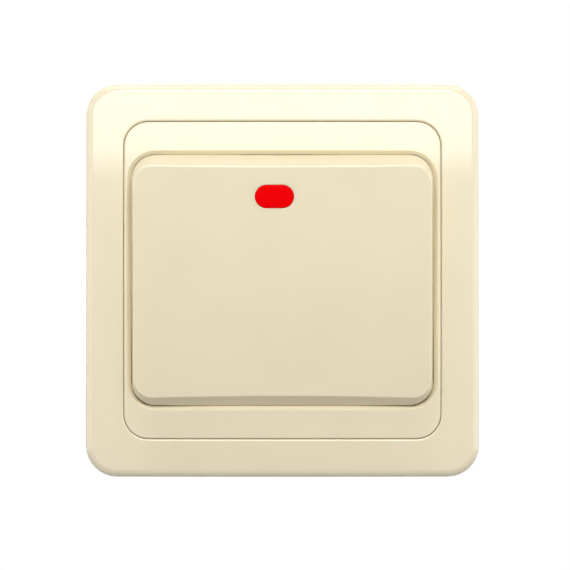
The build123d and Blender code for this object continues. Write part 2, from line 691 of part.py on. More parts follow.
def mounting_plate():
    """Zinc-plated steel plate with folded sides, box-screw holes, clip slots and a window."""
    half = PLATE_SIZE / 2
    body = prism(PLATE_SIZE, PLATE_SIZE, PLATE_CORNER, 0, PLATE_THICK)
    fold = block(half - PLATE_THICK, half, PLATE_CORNER - half, half - PLATE_CORNER, 0, PLATE_FOLD)
    fold = fillet(fold.edges().filter_by(Axis.X).group_by(Axis.Z)[-1], PLATE_FOLD / 2)
    body += fold
    body += mirror(fold, Plane.YZ)
    window_w = 2 * (EAR_OUT + PLATE_WINDOW_SIDE)
    window_h = 2 * (LAMP_Y + LAMP_R + LAMP_FIT + LAMP_TUBE_WALL + PLATE_WINDOW_END)
    body -= prism(window_w, window_h, PLATE_WINDOW_CORNER, 0, PLATE_THICK)
    for turn in range(4):
        place = Rot(0, 0, 90 * turn) * Pos(BOX_PITCH / 2, 0, 0)
        body -= place * extrude(Circle(BOX_HOLE_R), PLATE_THICK)
    for x, y in at_body_screws():
        body -= Pos(x, y) * extrude(Circle(BODY_SCREW_R + HOLE_SLACK), PLATE_THICK)
    low = CLIP_Y - CLIP_NOSE + CLIP_SLOT_IN
    high = CLIP_Y + CLIP_THICK + CLIP_NOSE + CLIP_SLOT_OUT
    wide = CLIP_WIDTH / 2 + CLIP_SLOT_SIDE
    for side in (-1, 1):
        body -= Pos(side * CLAW_SCREW_X, 0) * extrude(Circle(CLAW_SCREW_R + HOLE_SLACK), PLATE_THICK)
        slot = block(side * CLIP_X - wide, side * CLIP_X + wide, low, high, 0, PLATE_THICK)
        body -= slot
        body -= mirror(slot, Plane.XZ)
    return body


def body_screws():
    """Four self-tapping screws through the plate and the cover into the base."""
    screw = slotted_screw(BODY_SCREW_R, BODY_SCREW_LENGTH, BODY_HEAD_R, BODY_HEAD)
    group = Part()
    for x, y in at_body_screws():
        group += Pos(x, y, PLATE_THICK) * screw
    return group


def claw_leg():
    """Toothed side of the right-hand claw, as a profile of (x, z) points."""
    top = CLAW_Z + CLAW_THICK / 2
    out = CLAW_X + CLAW_REACH
    points = [(CLAW_X + CLAW_ROOT, top), (out, top)]
    for tooth in range(TEETH, 0, -1):
        base = TOOTH_LIFT + tooth * TOOTH_PITCH - CLAW_BACK
        points.append((out, base))
        points.append((out + CLAW_TOOTH, base - TOOTH_PITCH / 2))
    points.append((out, TOOTH_LIFT - CLAW_BACK))
    points.append((out - CLAW_TIP_OUT, -CLAW_BACK))
    points.append((out - CLAW_TIP_IN, -CLAW_BACK))
    points.append((CLAW_X + CLAW_GUSSET_X, CLAW_Z - CLAW_GUSSET))
    return Polygon(*points)


def claw_right():
    """Steel spreading claw: a flange on its fulcrum with two toothed legs."""
    half = CLAW_THICK / 2
    flange = block(CLAW_X, CLAW_X + CLAW_REACH, -CLAW_HALF, CLAW_HALF, CLAW_Z - half, CLAW_Z + half)
    flange += rod(half, (CLAW_X, -CLAW_HALF, CLAW_Z), (0, 1, 0), 2 * CLAW_HALF)
    leg = Plane.XZ.offset(-CLAW_HALF) * extrude(claw_leg(), CLAW_THICK, dir=(0, 0, 1))
    body = flange + leg + mirror(leg, Plane.XZ)
    slot = SlotOverall(2 * CLAW_SCREW_R + CLAW_SLOT, 2 * (CLAW_SCREW_R + CLAW_SLOT_PLAY))
    return body - Pos(CLAW_SCREW_X, 0, CLAW_Z - CLAW_THICK) * extrude(slot, 2 * CLAW_THICK)


def claw_screw(side):
    """Screw that draws a claw towards the plate."""
    screw = slotted_screw(CLAW_SCREW_R, CLAW_SCREW_LENGTH, CLAW_HEAD_R, CLAW_HEAD)
    return Pos(side * CLAW_SCREW_X, 0, PLATE_THICK) * screw


def neon_lamp():
    """Glass envelope of the indicator lamp, domed towards the lens."""
    body = rod(LAMP_R, (LENS_X, LAMP_Y, LAMP_LOW), (0, 0, 1), LAMP_TOP - LAMP_LOW)
    return fillet(body.edges().filter_by(GeomType.CIRCLE).sort_by(Axis.Z)[-1], LAMP_R - LAMP_CAP)


def lead(points):
    """Round wire along a bent path."""
    path = Polyline(*points)
    if len(points) > 2:
        path = FilletPolyline(*points, radius=LEAD_BEND)
    section = Plane(origin=path @ 0, z_dir=path % 0) * Circle(LEAD_R)
    return sweep(section, path=path)


def lamp_lead_line():
    """Short lamp wire down to the upper strip."""
    place = LAMP_Y - LEAD_HALF_PITCH
    return lead([(LENS_X, place, LAMP_LOW), (LENS_X, place, LID_LOW)])


def lamp_lead_resistor():
    """Lamp wire led round to the upper end of the resistor."""
    place = LAMP_Y + LEAD_HALF_PITCH
    corner = (CHANNEL_X, place, LEAD_Z)
    end = (CHANNEL_X, RESISTOR_LENGTH / 2, LEAD_Z)
    return lead([(LENS_X, place, LAMP_LOW), (LENS_X, place, LEAD_Z), corner, end])


def resistor_lead_load():
    """Wire from the lower end of the resistor to the edge of the lower strip."""
    corner = (CHANNEL_X, -WIRE_Y, LEAD_Z)
    return lead([(CHANNEL_X, -RESISTOR_LENGTH / 2, LEAD_Z), corner, (-STRIP_WIDTH / 2, -WIRE_Y, LEAD_Z)])


def lamp_resistor():
    """Series resistor lying in the base, with rounded end caps."""
    body = rod(RESISTOR_R, (CHANNEL_X, -RESISTOR_LENGTH / 2, LEAD_Z), (0, 1, 0), RESISTOR_LENGTH)
    return fillet(body.edges().filter_by(GeomType.CIRCLE), RESISTOR_R / 2)


def pieces():
    """Every piece of the switch in the working frame, by name."""
    cage = clamp_cage()
    screw = clamp_screw()
    claw = claw_right()
    return {
        "outer_frame": outer_frame(),
        "cover_plate": cover_plate(),
        "rocker": tilted(rocker()),
        "indicator_lens": tilted(indicator_lens()),
        "dolly": tilted(dolly()),
        "plunger": tilted(plunger()),
        "plunger_spring": tilted(plunger_spring()),
        "contact_lever": rocked(contact_lever()),
        "lever_contact": rocked(lever_contact()),
        "line_terminal": line_terminal(),
        "load_terminal": load_terminal(),
        "load_contact": load_contact(),
        "line_clamp": cage,
        "load_clamp": mirror(cage, Plane.XZ),
        "line_clamp_screw": screw,
        "load_clamp_screw": mirror(screw, Plane.XZ),
        "mechanism_base": mechanism_base(),
        "mechanism_cover": mechanism_cover(),
        "mounting_plate": mounting_plate(),
        "body_screws": body_screws(),
        "claw_right": claw,
        "claw_left": mirror(claw, Plane.YZ),
        "claw_screw_right": claw_screw(1),
        "claw_screw_left": claw_screw(-1),
        "neon_lamp": neon_lamp(),
        "lamp_resistor": lamp_resistor(),
        "lamp_lead_line": lamp_lead_line(),
        "lamp_lead_resistor": lamp_lead_resistor(),
        "resistor_lead_load": resistor_lead_load(),
    }


# The row stands upright: the working frame's y becomes +Z and its z becomes -Y.
os.makedirs("parts", exist_ok=True)
for name, shape in pieces().items():
    export_step(Plane.XZ * shape, f"parts/{name}.step")
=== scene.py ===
"""Looks of a flush rocker light switch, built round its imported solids."""

import json
import logging
import math
from dataclasses import dataclass
from enum import Enum
from typing import Any, Callable, Iterable, Optional, Sequence

import bmesh
import bpy
from mathutils import Matrix, Vector

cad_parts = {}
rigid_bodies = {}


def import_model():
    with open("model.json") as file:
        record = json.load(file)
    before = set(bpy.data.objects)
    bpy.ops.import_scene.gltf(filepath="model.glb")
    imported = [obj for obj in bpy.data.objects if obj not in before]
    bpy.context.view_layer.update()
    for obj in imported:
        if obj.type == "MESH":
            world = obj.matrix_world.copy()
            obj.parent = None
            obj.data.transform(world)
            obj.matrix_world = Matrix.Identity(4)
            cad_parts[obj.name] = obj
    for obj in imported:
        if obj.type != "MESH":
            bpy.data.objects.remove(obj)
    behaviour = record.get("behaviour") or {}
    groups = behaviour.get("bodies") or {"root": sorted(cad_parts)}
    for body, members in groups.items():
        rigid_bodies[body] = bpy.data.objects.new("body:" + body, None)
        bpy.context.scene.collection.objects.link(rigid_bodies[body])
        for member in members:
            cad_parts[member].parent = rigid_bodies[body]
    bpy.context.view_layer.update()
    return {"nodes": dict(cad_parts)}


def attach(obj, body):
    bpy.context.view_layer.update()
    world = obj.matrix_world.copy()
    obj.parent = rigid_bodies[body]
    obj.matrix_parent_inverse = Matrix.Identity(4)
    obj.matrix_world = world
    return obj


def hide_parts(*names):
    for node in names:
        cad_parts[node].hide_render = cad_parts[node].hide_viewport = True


LOG = logging.getLogger("light_switch")
MM = 0.001
DOWN = Vector((0, 0, -1))
THIRDS = (0.33, 0.67)
HALVINGS = 30
SOFT_SEGMENTS = 2
FLAT_MM = 0.01
MERGE_MM = 0.001
# Triangles that meet under the first angle are one flat face, outer edges over the second are softened,
# and faces that meet under the third are shaded as one surface.
FLAT_ANGLE = math.radians(1)
SHARP_ANGLE = math.radians(35)
SMOOTH_ANGLE = math.radians(36)

Placer = Callable[[Vector], Vector]
Loop = list[Vector]
Samples = list[tuple[Vector, Vector]]


class Body(Enum):
    """Bodies of the switch that carry modelled pieces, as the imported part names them."""

    SWITCH = "switch"
    ROCKER = "rocker"
    CLAW_RIGHT = "claw_right"
    CLAW_LEFT = "claw_left"
    CLAW_SCREW_RIGHT = "claw_screw_right"
    CLAW_SCREW_LEFT = "claw_screw_left"
    LINE_SCREW = "line_clamp_screw"
    LOAD_SCREW = "load_clamp_screw"
    LINE_CLAMP = "line_clamp"
    LOAD_CLAMP = "load_clamp"


class Slot(Enum):
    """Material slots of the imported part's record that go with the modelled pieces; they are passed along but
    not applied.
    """

    IVORY = "ivory_plastic"
    LENS = "red_lens"
    WHITE = "white_plastic"
    BASE = "base_plastic"
    ZINC = "zinc_steel"
    PLATED = "plated_steel"


def linear(colour: str) -> tuple[float, float, float, float]:
    """Turn an sRGB hex colour into linear values.

    Args:
        colour: Six hex digits after a hash sign.

    Returns:
        Linear red, green, blue and an alpha of one.
    """
    parts = [int(colour[place : place + 2], 16) / 255 for place in (1, 3, 5)]
    values = [part / 12.92 if part <= 0.04045 else ((part + 0.055) / 1.055) ** 2.4 for part in parts]
    return (values[0], values[1], values[2], 1.0)


def per_mm(size: float) -> float:
    """Pattern scale that gives one feature in each size of millimetres."""
    return 1.0 / (size * MM)


def add_node(
    tree: bpy.types.NodeTree,
    kind: str,
    settings: Optional[dict[Any, Any]] = None,
    links: Optional[dict[Any, bpy.types.NodeSocket]] = None,
) -> bpy.types.Node:
    """Add one node with its settings and links.

    Args:
        tree: Node tree that takes the node.
        kind: Blender's name of the node type.
        settings: Properties, colour stops ("stops") or input values, by name or index.
        links: Output sockets to join to the node's inputs, by name or index.

    Returns:
        The new node.
    """
    node = tree.nodes.new(kind)
    for key, value in (settings or {}).items():
        if key == "stops":
            ramp = node.color_ramp.elements
            while len(ramp) < len(value):
                ramp.new(1.0)
            for stop, (place, colour) in zip(ramp, value):
                stop.position = place
                stop.color = linear(colour)
        elif isinstance(key, str) and hasattr(node, key):
            setattr(node, key, value)
        else:
            node.inputs[key].default_value = value
    for key, source in (links or {}).items():
        tree.links.new(source, node.inputs[key])
    return node


@dataclass(frozen=True)
class Finish:
    """A surface: its shader constants, its mottled colour and its fine relief."""

    name: str
    dark: str
    light: str
    mottle_mm: float
    rough_low: float
    rough_high: float
    grain_mm: float
    relief_mm: float
    metallic: float = 0.0
    ior: float = 1.5
    stretch: tuple[float, float, float] = (1.0, 1.0, 1.0)
    transmission: float = 0.0
    specular: float = 0.5
    stops: tuple[float, float] = (0.3, 0.7)
    mottle_detail: float = 3.0
    grain_detail: float = 4.0

    def build(self) -> bpy.types.Material:
        """Make the material.

        Returns:
            A node material with mottled colour, uneven gloss and fine relief.
        """
        material = bpy.data.materials.new(self.name)
        material.use_nodes = True
        tree = material.node_tree
        tree.nodes.clear()
        place = add_node(tree, "ShaderNodeTexCoord").outputs["Object"]
        place = add_node(
            tree, "ShaderNodeMapping", {"Scale": self.stretch}, {"Vector": place}
        ).outputs["Vector"]
        shader = add_node(
            tree,
            "ShaderNodeBsdfPrincipled",
            {
                "Metallic": self.metallic,
                "IOR": self.ior,
                "Transmission Weight": self.transmission,
                "Specular IOR Level": self.specular,
            },
        )
        tree.links.new(self.colour(tree, place), shader.inputs["Base Color"])
        self.gloss(tree, place, shader)
        add_node(tree, "ShaderNodeOutputMaterial", None, {"Surface": shader.outputs["BSDF"]})
        return material

    def colour(self, tree: bpy.types.NodeTree, place: bpy.types.NodeSocket) -> bpy.types.NodeSocket:
        """Colour that drifts softly between the two tones.

        Args:
            tree: The material's node tree.
            place: Object coordinates.

        Returns:
            The colour socket.
        """
        drift = add_node(
            tree,
            "ShaderNodeTexNoise",
            {"Scale": per_mm(self.mottle_mm), "Detail": self.mottle_detail},
            {"Vector": place},
        )
        stops = list(zip(self.stops, (self.dark, self.light)))
        return add_node(
            tree, "ShaderNodeValToRGB", {"stops": stops}, {"Fac": drift.outputs["Fac"]}
        ).outputs["Color"]

    def gloss(self, tree: bpy.types.NodeTree, place: bpy.types.NodeSocket, shader: bpy.types.Node) -> None:
        """Uneven roughness and a fine relief.

        Args:
            tree: The material's node tree.
            place: Object coordinates.
            shader: The surface shader.
        """
        grain = add_node(
            tree,
            "ShaderNodeTexNoise",
            {"Scale": per_mm(self.grain_mm), "Detail": self.grain_detail},
            {"Vector": place},
        ).outputs["Fac"]
        rough = add_node(
            tree,
            "ShaderNodeMapRange",
            {"To Min": self.rough_low, "To Max": self.rough_high},
            {"Value": grain},
        )
        tree.links.new(rough.outputs["Result"], shader.inputs["Roughness"])
        bump = add_node(
            tree,
            "ShaderNodeBump",
            {"Strength": 1.0, "Distance": self.relief_mm * MM},
            {"Height": grain},
        )
        tree.links.new(bump.outputs["Normal"], shader.inputs["Normal"])


@dataclass(frozen=True)
class ResistorLacquer(Finish):
    """Lacquered film resistor with painted value bands round its length."""

    bands: tuple[tuple[float, float, str], ...] = ()
    start_mm: float = 0.0
    length_mm: float = 1.0

    def colour(self, tree: bpy.types.NodeTree, place: bpy.types.NodeSocket) -> bpy.types.NodeSocket:
        """Bands of paint along the body's upright axis.

        Args:
            tree: The material's node tree.
            place: Object coordinates.

        Returns:
            The colour socket.
        """
        height = add_node(tree, "ShaderNodeSeparateXYZ", None, {"Vector": place}).outputs["Z"]
        along = add_node(
            tree,
            "ShaderNodeMapRange",
            {"From Min": self.start_mm * MM, "From Max": (self.start_mm + self.length_mm) * MM},
            {"Value": height},
        ).outputs["Result"]
        stops = [(0.0, self.light)]
        for start, end, paint in self.bands:
            stops += [(start, paint), (end, self.light)]
        ramp = add_node(tree, "ShaderNodeValToRGB", {"stops": stops}, {"Fac": along})
        ramp.color_ramp.interpolation = "CONSTANT"
        return ramp.outputs["Color"]


# Each finish: name, two tones, mottle in mm, least and most roughness, grain and relief in mm, metallic.

# Urea moulding from a polished tool: warm ivory with a soft gloss and a hardly visible orange peel.
IVORY = Finish("ivory_urea", "#DED3B6", "#E1D6B9", 16.0, 0.10, 0.14, 1.4, 0.001, ior=1.56)
# Dyed acrylic, cast clear and deep red: a smooth, bright window with little scatter.
RED_LENS = Finish("red_acrylic", "#E20104", "#E80207", 5.0, 0.10, 0.14, 0.9, 0.001, ior=1.49, specular=0.025)
# Glass-filled polyamide: off-white, satin, with flow marks from the gate.
WHITE = Finish("satin_polyamide", "#E4E1D8", "#F0EEE7", 6.0, 0.42, 0.55, 0.5, 0.012, ior=1.53)
# Thermoset base with mineral filler: matt light grey, slightly speckled.
BASE = Finish("matt_thermoset", "#D2D0C9", "#D6D4CD", 2.2, 0.55, 0.68, 0.35, 0.02, ior=1.56)
# Zinc-plated sheet: bluish steel with soft spangle and rolling lines.
ZINC = Finish(
    "zinc_plated_sheet", "#AEB4B8", "#CDD2D5", 1.8, 0.26, 0.42, 0.8, 0.006, 1.0, stretch=(1.0, 1.0, 0.35)
)
# Turned and zinc-plated steel: a yellowish bright finish with fine tool lines.
PLATED = Finish("zinc_plated_screw", "#B9B6A6", "#D6D4C6", 0.9, 0.22, 0.36, 0.18, 0.006, 1.0)
# Drawn spring wire: dark and smooth with fine die lines.
SPRING = Finish("spring_wire", "#86888B", "#A2A4A6", 0.8, 0.25, 0.4, 0.15, 0.004, 1.0)
# Rolled brass strip: warm yellow metal with rolling lines and slight tarnish.
BRASS = Finish("rolled_brass", "#B08A45", "#D3AE64", 2.5, 0.24, 0.4, 0.3, 0.006, 1.0, stretch=(1.0, 0.3, 1.0))
# Silver alloy rivet: white metal, pressed and slightly dull.
SILVER = Finish("silver_alloy", "#C9C8C2", "#E2E1DC", 0.8, 0.2, 0.34, 0.25, 0.004, 1.0)
# Soda-lime tube glass: clear, fire-polished.
GLASS = Finish("lamp_tube_glass", "#F4F2EE", "#FBFAF7", 2.0, 0.01, 0.05, 1.0, 0.002, ior=1.52, transmission=1.0)
# Tinned copper wire: soft white metal with draw marks.
TINNED = Finish("tinned_copper", "#B4B5B2", "#D0D1CE", 0.7, 0.28, 0.45, 0.2, 0.004, 1.0)
# Epoxy lacquer over a film resistor: beige gloss with painted bands.
LACQUER = ResistorLacquer(
    "resistor_lacquer",
    "#CDAD78",
    "#CDAD78",
    1.0,
    0.2,
    0.3,
    0.4,
    0.004,
    bands=(
        (0.16, 0.25, "#6B3A1E"),
        (0.36, 0.45, "#D8B321"),
        (0.56, 0.65, "#C8752B"),
        (0.8, 0.88, "#B89A4A"),
    ),
    start_mm=-3.25,
    length_mm=6.5,
)


def to_row(spot: Vector) -> Vector:
    """Turn a point of the wall frame, in millimetres with z out of the wall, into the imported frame."""
    return Vector((spot.x, -spot.z, spot.y)) * MM


def at_height(spot: Vector, height: float) -> Vector:
    """Point over a plan position."""
    return Vector((spot.x, spot.y, height))


def level(loop: Loop, height: float) -> Loop:
    """Loop laid flat at one height."""
    return [at_height(spot, height) for spot in loop]


def spots(samples: Samples) -> Loop:
    """Points of samples, without their outward directions."""
    return [spot for spot, _ in samples]


def between(first: Loop, second: Loop, share: float) -> Loop:
    """Loop part of the way from one loop to another."""
    return [a.lerp(b, share) for a, b in zip(first, second)]


def evenly(parts: int) -> list[float]:
    """Even shares of the way between two loops, both ends left out."""
    return [step / parts for step in range(1, parts)]


def rounded_edge(edge: Vector, first: Vector, second: Vector, radius: float, steps: int) -> Loop:
    """Round an edge where two surfaces meet.

    Args:
        edge: Point on the sharp edge.
        first: Direction from the edge along the first surface.
        second: Direction from the edge along the second surface.
        radius: Radius of the round.
        steps: Facets of the round.

    Returns:
        Points from the first surface to the second.
    """
    angle = first.angle(second)
    reach = radius / math.tan(angle / 2)
    centre = edge + (first + second).normalized() * radius / math.sin(angle / 2)
    start = edge + first * reach - centre
    end = edge + second * reach - centre
    axis = start.cross(end).normalized()
    sweep = math.pi - angle
    return [centre + Matrix.Rotation(sweep * step / steps, 3, axis) @ start for step in range(steps + 1)]


def bevelled_edge(edge: Vector, first: Vector, second: Vector, size: float, soft: float) -> Loop:
    """Bevel an edge where two surfaces meet, with softened corners.

    Args:
        edge: Point on the sharp edge.
        first: Direction from the edge along the first surface.
        second: Direction from the edge along the second surface.
        size: Distance of the bevel from the edge on both surfaces.
        soft: Radius of the softened corners.

    Returns:
        Points from the first surface to the second.
    """
    near = edge + first * size
    far = edge + second * size
    slope = (far - near).normalized()
    corner = rounded_edge(near, first, slope, soft, SOFT_SEGMENTS)
    return corner + rounded_edge(far, -slope, second, soft, SOFT_SEGMENTS)


def first_inside(start: Vector, end: Vector, inside: Callable[[Vector], bool]) -> Vector:
    """Point of a line where it enters a region.

    Args:
        start: Point outside the region.
        end: Point inside it.
        inside: Whether a point lies in the region.

    Returns:
        The point of entry.
    """
    low, high = 0.0, 1.0
    for _ in range(HALVINGS):
        share = (low + high) / 2
        if inside(start.lerp(end, share)):
            high = share
        else:
            low = share
    return start.lerp(end, high)


def across(columns: Sequence[Loop]) -> list[Loop]:
    """Turn one short run of points per vertex into loops round the piece."""
    return [list(loop) for loop in zip(*columns)]


@dataclass(frozen=True)
class LoopGrid:
    """How many facets a rounded rectangle has at each corner and on its sides."""

    corner: int
    across: int
    up: int


@dataclass(frozen=True)
class Outline:
    """Rounded rectangle in plan, in millimetres."""

    width: float
    height: float
    radius: float
    centre_y: float = 0.0

    def samples(self, grid: LoopGrid) -> Samples:
        """Points round the outline, anticlockwise from the middle of the right side.

        Args:
            grid: Facets at the corners and on the sides.

        Returns:
            Each point with its outward direction.
        """
        half_w = self.width / 2 - self.radius
        half_h = self.height / 2 - self.radius
        sides = (
            (Vector((1, 0, 0)), half_h, grid.up, half_w),
            (Vector((0, 1, 0)), half_w, grid.across, half_h),
            (Vector((-1, 0, 0)), half_h, grid.up, half_w),
            (Vector((0, -1, 0)), half_w, grid.across, half_h),
        )
        result = []
        for out, half, steps, reach in sides:
            along = Vector((-out.y, out.x, 0))
            base = out * (reach + self.radius)
            for step in range(steps):
                result.append((base + along * half * (2 * step / steps - 1), out))
            centre = out * reach + along * half
            for step in range(grid.corner):
                turn = Matrix.Rotation(math.pi / 2 * step / grid.corner, 3, "Z") @ out
                result.append((centre + turn * self.radius, turn))
        start = grid.up // 2
        shift = Vector((0, self.centre_y, 0))
        return [(spot + shift, out) for spot, out in result[start:] + result[:start]]

    def points(self, grid: LoopGrid) -> Loop:
        """Points alone."""
        return spots(self.samples(grid))

    def holds(self, spot: Vector) -> bool:
        """Whether a plan position lies on or inside the outline.

        Args:
            spot: The plan position.

        Returns:
            True on or inside it.
        """
        over_x = max(abs(spot.x) - self.width / 2 + self.radius, 0.0)
        over_y = max(abs(spot.y - self.centre_y) - self.height / 2 + self.radius, 0.0)
        return math.hypot(over_x, over_y) <= self.radius


@dataclass(frozen=True)
class Stadium:
    """Long round-ended outline in plan, in millimetres."""

    centre_x: float
    centre_y: float
    length: float
    width: float

    def samples(self, count: int) -> Samples:
        """Evenly spaced points, anticlockwise from the right end.

        Args:
            count: How many points.

        Returns:
            Each point with its outward direction.
        """
        radius = self.width / 2
        straight = self.length - self.width
        arc = math.pi * radius
        centre = Vector((self.centre_x, self.centre_y, 0))
        result = []
        for index in range(count):
            run = (index / count * 2 * (arc + straight) + arc / 2) % (2 * (arc + straight))
            side = 1 if run < arc + straight else -1
            run -= 0 if side > 0 else arc + straight
            if run < arc:
                turn = run / radius - math.pi / 2
                out = Vector((math.cos(turn), math.sin(turn), 0)) * side
                spot = Vector((side * straight / 2, 0, 0)) + out * radius
            else:
                out = Vector((0, side, 0))
                spot = Vector((side * (straight / 2 - (run - arc)), 0, 0)) + out * radius
            result.append((centre + spot, out))
        return result

    def grown(self, margin: float) -> "Stadium":
        """The same outline grown all round."""
        return Stadium(self.centre_x, self.centre_y, self.length + 2 * margin, self.width + 2 * margin)


@dataclass(frozen=True)
class Dome:
    """Ball-shaped front surface: its highest point and its radius."""

    crown: float
    radius: float

    def lift(self, spot: Vector, depth: float = 0.0) -> Vector:
        """Point of the surface, or of one a depth under it, over a plan position.

        Args:
            spot: The plan position.
            depth: Distance under the surface.

        Returns:
            The point.
        """
        inner = self.radius - depth
        rise = math.sqrt(inner * inner - spot.x * spot.x - spot.y * spot.y)
        return at_height(spot, self.crown - self.radius + rise)

    def along(self, spot: Vector, way: Vector) -> Vector:
        """Direction on the surface over a plan direction."""
        rise = math.sqrt(self.radius**2 - spot.x * spot.x - spot.y * spot.y)
        return Vector((way.x, way.y, -(spot.x * way.x + spot.y * way.y) / rise)).normalized()

    def outer_edge(self, samples: Samples, radius: float, steps: int) -> list[Loop]:
        """Rounded edge from an upright outer wall over to the surface.

        Args:
            samples: Outline of the wall.
            radius: Radius of the round.
            steps: Facets of the round.

        Returns:
            Loops from the wall to the surface.
        """
        return across(
            [
                rounded_edge(self.lift(spot), DOWN, self.along(spot, -out), radius, steps)
                for spot, out in samples
            ]
        )

    def inner_edge(self, samples: Samples, radius: float, steps: int) -> list[Loop]:
        """Rounded edge from the surface down into an opening.

        Args:
            samples: Outline of the opening.
            radius: Radius of the round.
            steps: Facets of the round.

        Returns:
            Loops from the surface to the opening's wall.
        """
        return across(
            [
                rounded_edge(self.lift(spot), self.along(spot, out), DOWN, radius, steps)
                for spot, out in samples
            ]
        )

    def bands(self, first: Loop, second: Loop, shares: Iterable[float], depth: float = 0.0) -> list[Loop]:
        """Loops on the surface, or a depth under it, between two loops.

        Args:
            first: Loop to start from.
            second: Loop to go to.
            shares: Shares of the way.
            depth: Distance under the surface.

        Returns:
            One loop for each share.
        """
        return [[self.lift(spot, depth) for spot in between(first, second, share)] for share in shares]


class Workpiece:
    """Mesh in edit mode, grown loop by loop."""

    def __init__(self, name: str, place: Placer = to_row) -> None:
        """Keep the piece's name and the way its points are placed.

        Args:
            name: Name of the object and its mesh.
            place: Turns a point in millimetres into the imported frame.
        """
        self.name = name
        self.place = place
        self.obj: Optional[bpy.types.Object] = None
        self.count = 0

    def marks(self) -> tuple[bmesh.types.BMesh, bmesh.types.BMLayerItem]:
        """Open the mesh being edited.

        Returns:
            The mesh and the layer that numbers the vertices of its loops.
        """
        mesh = bmesh.from_edit_mesh(self.obj.data)
        layer = mesh.verts.layers.int.get("mark") or mesh.verts.layers.int.new("mark")
        return mesh, layer

    def number(self, vertices: list[bmesh.types.BMVert]) -> list[int]:
        """Give vertices fresh numbers.

        Args:
            vertices: Vertices in the order of their loop.

        Returns:
            Their numbers.
        """
        _, layer = self.marks()
        ring = []
        for vertex in vertices:
            self.count += 1
            vertex[layer] = self.count
            ring.append(self.count)
        return ring

    def numbered(self) -> dict[int, bmesh.types.BMVert]:
        """Vertices by their numbers."""
        mesh, layer = self.marks()
        return {vertex[layer]: vertex for vertex in mesh.verts if vertex[layer]}

    def lay(self, ring: list[int], loop: Loop) -> list[int]:
        """Lay the vertices of a loop on points.

        Args:
            ring: Numbers of the loop's vertices.
            loop: Points in millimetres.

        Returns:
            The same numbers.
        """
        vertices = self.numbered()
        for number, spot in zip(ring, loop):
            vertices[number].co = self.place(spot)
        bmesh.update_edit_mesh(self.obj.data)
        return ring

    def start(self, loop: Loop) -> list[int]:
        """Add a circle and lay it on a first loop.

        Args:
            loop: Points in millimetres.

        Returns:
            Numbers of the loop's vertices.
        """
        fresh = self.obj is None
        deselect = bpy.ops.object.select_all if fresh else bpy.ops.mesh.select_all
        deselect(action="DESELECT")
        bpy.ops.mesh.primitive_circle_add(vertices=len(loop), radius=MM)
        if fresh:
            self.obj = bpy.context.object
            self.obj.name = self.name
            self.obj.data.name = self.name
            bpy.ops.object.mode_set(mode="EDIT")
            bpy.ops.mesh.select_mode(type="EDGE")
        mesh, _ = self.marks()
        order = [next(vertex for vertex in mesh.verts if vertex.select)]
        edge = order[0].link_edges[0]
        while len(order) < len(loop):
            order.append(edge.other_vert(order[-1]))
            edge = next(other for other in order[-1].link_edges if other != edge)
        return self.lay(self.number(order), loop)

    def pick(self, *rings: list[int]) -> None:
        """Select the edges of closed loops and nothing else.

        Args:
            rings: Numbers of each loop's vertices.
        """
        bpy.ops.mesh.select_all(action="DESELECT")
        mesh, _ = self.marks()
        vertices = self.numbered()
        for ring in rings:
            for first, second in zip(ring, ring[1:] + ring[:1]):
                mesh.edges.get((vertices[first], vertices[second])).select_set(True)
        bmesh.update_edit_mesh(self.obj.data)

    def extend(self, ring: list[int], loop: Loop) -> list[int]:
        """Extrude a loop of edges and lay the new loop on its points.

        Args:
            ring: Numbers of the open loop's vertices.
            loop: Points for the new loop.

        Returns:
            Numbers of the new loop's vertices.
        """
        self.pick(ring)
        bpy.ops.mesh.extrude_edges_indiv()
        mesh, layer = self.marks()
        partner = {}
        for edge in mesh.edges:
            first, second = edge.verts
            if first.select != second.select:
                old, new = (second, first) if first.select else (first, second)
                partner[old[layer]] = new
        return self.lay(self.number([partner[number] for number in ring]), loop)

    def grow(self, ring: list[int], loops: Iterable[Loop]) -> list[int]:
        """Extrude through several loops.

        Args:
            ring: Numbers of the open loop's vertices.
            loops: Points of each loop in turn.

        Returns:
            Numbers of the last loop's vertices.
        """
        for loop in loops:
            ring = self.extend(ring, loop)
        return ring

    def bridge(self, first: list[int], second: list[int]) -> None:
        """Join two open loops with faces."""
        self.pick(first, second)
        bpy.ops.mesh.bridge_edge_loops()

    def cap(self, ring: list[int]) -> None:
        """Close an open loop with one face."""
        self.pick(ring)
        bpy.ops.mesh.edge_face_add()

    def outward(self) -> None:
        """Point the faces of the closed shell outwards, before blocks and bars join it."""
        bpy.ops.mesh.select_all(action="SELECT")
        bpy.ops.mesh.normals_make_consistent(inside=False)

    def block(self, low: Vector, high: Vector, round_mm: float = 0.15) -> None:
        """Box between two corners with softened edges.

        Args:
            low: Lowest corner.
            high: Highest corner.
            round_mm: Width of the softened edges.
        """
        bpy.ops.mesh.select_all(action="DESELECT")
        bpy.ops.mesh.primitive_cube_add(size=2.0)
        mesh, _ = self.marks()
        middle = (low + high) / 2
        half = (high - low) / 2
        for vertex in mesh.verts:
            if vertex.select:
                vertex.co = self.place(middle + Vector(a * b for a, b in zip(vertex.co, half)))
        bmesh.update_edit_mesh(self.obj.data)
        bpy.ops.mesh.bevel(offset=round_mm * MM, segments=SOFT_SEGMENTS, affect="EDGES")

    def bar(self, outline: Loop, along: Vector, round_mm: float = 0.1) -> None:
        """Flat outline filled, drawn out and softened.

        Args:
            outline: Corners of the outline.
            along: Draw direction and length.
            round_mm: Width of the softened edges.
        """
        first = self.start(outline)
        second = self.extend(first, [spot + along for spot in outline])
        self.cap(first)
        self.cap(second)
        bpy.ops.mesh.select_linked()
        bpy.ops.mesh.bevel(offset=round_mm * MM, segments=SOFT_SEGMENTS, affect="EDGES")
        bpy.ops.mesh.select_linked()
        bpy.ops.mesh.normals_make_consistent(inside=False)

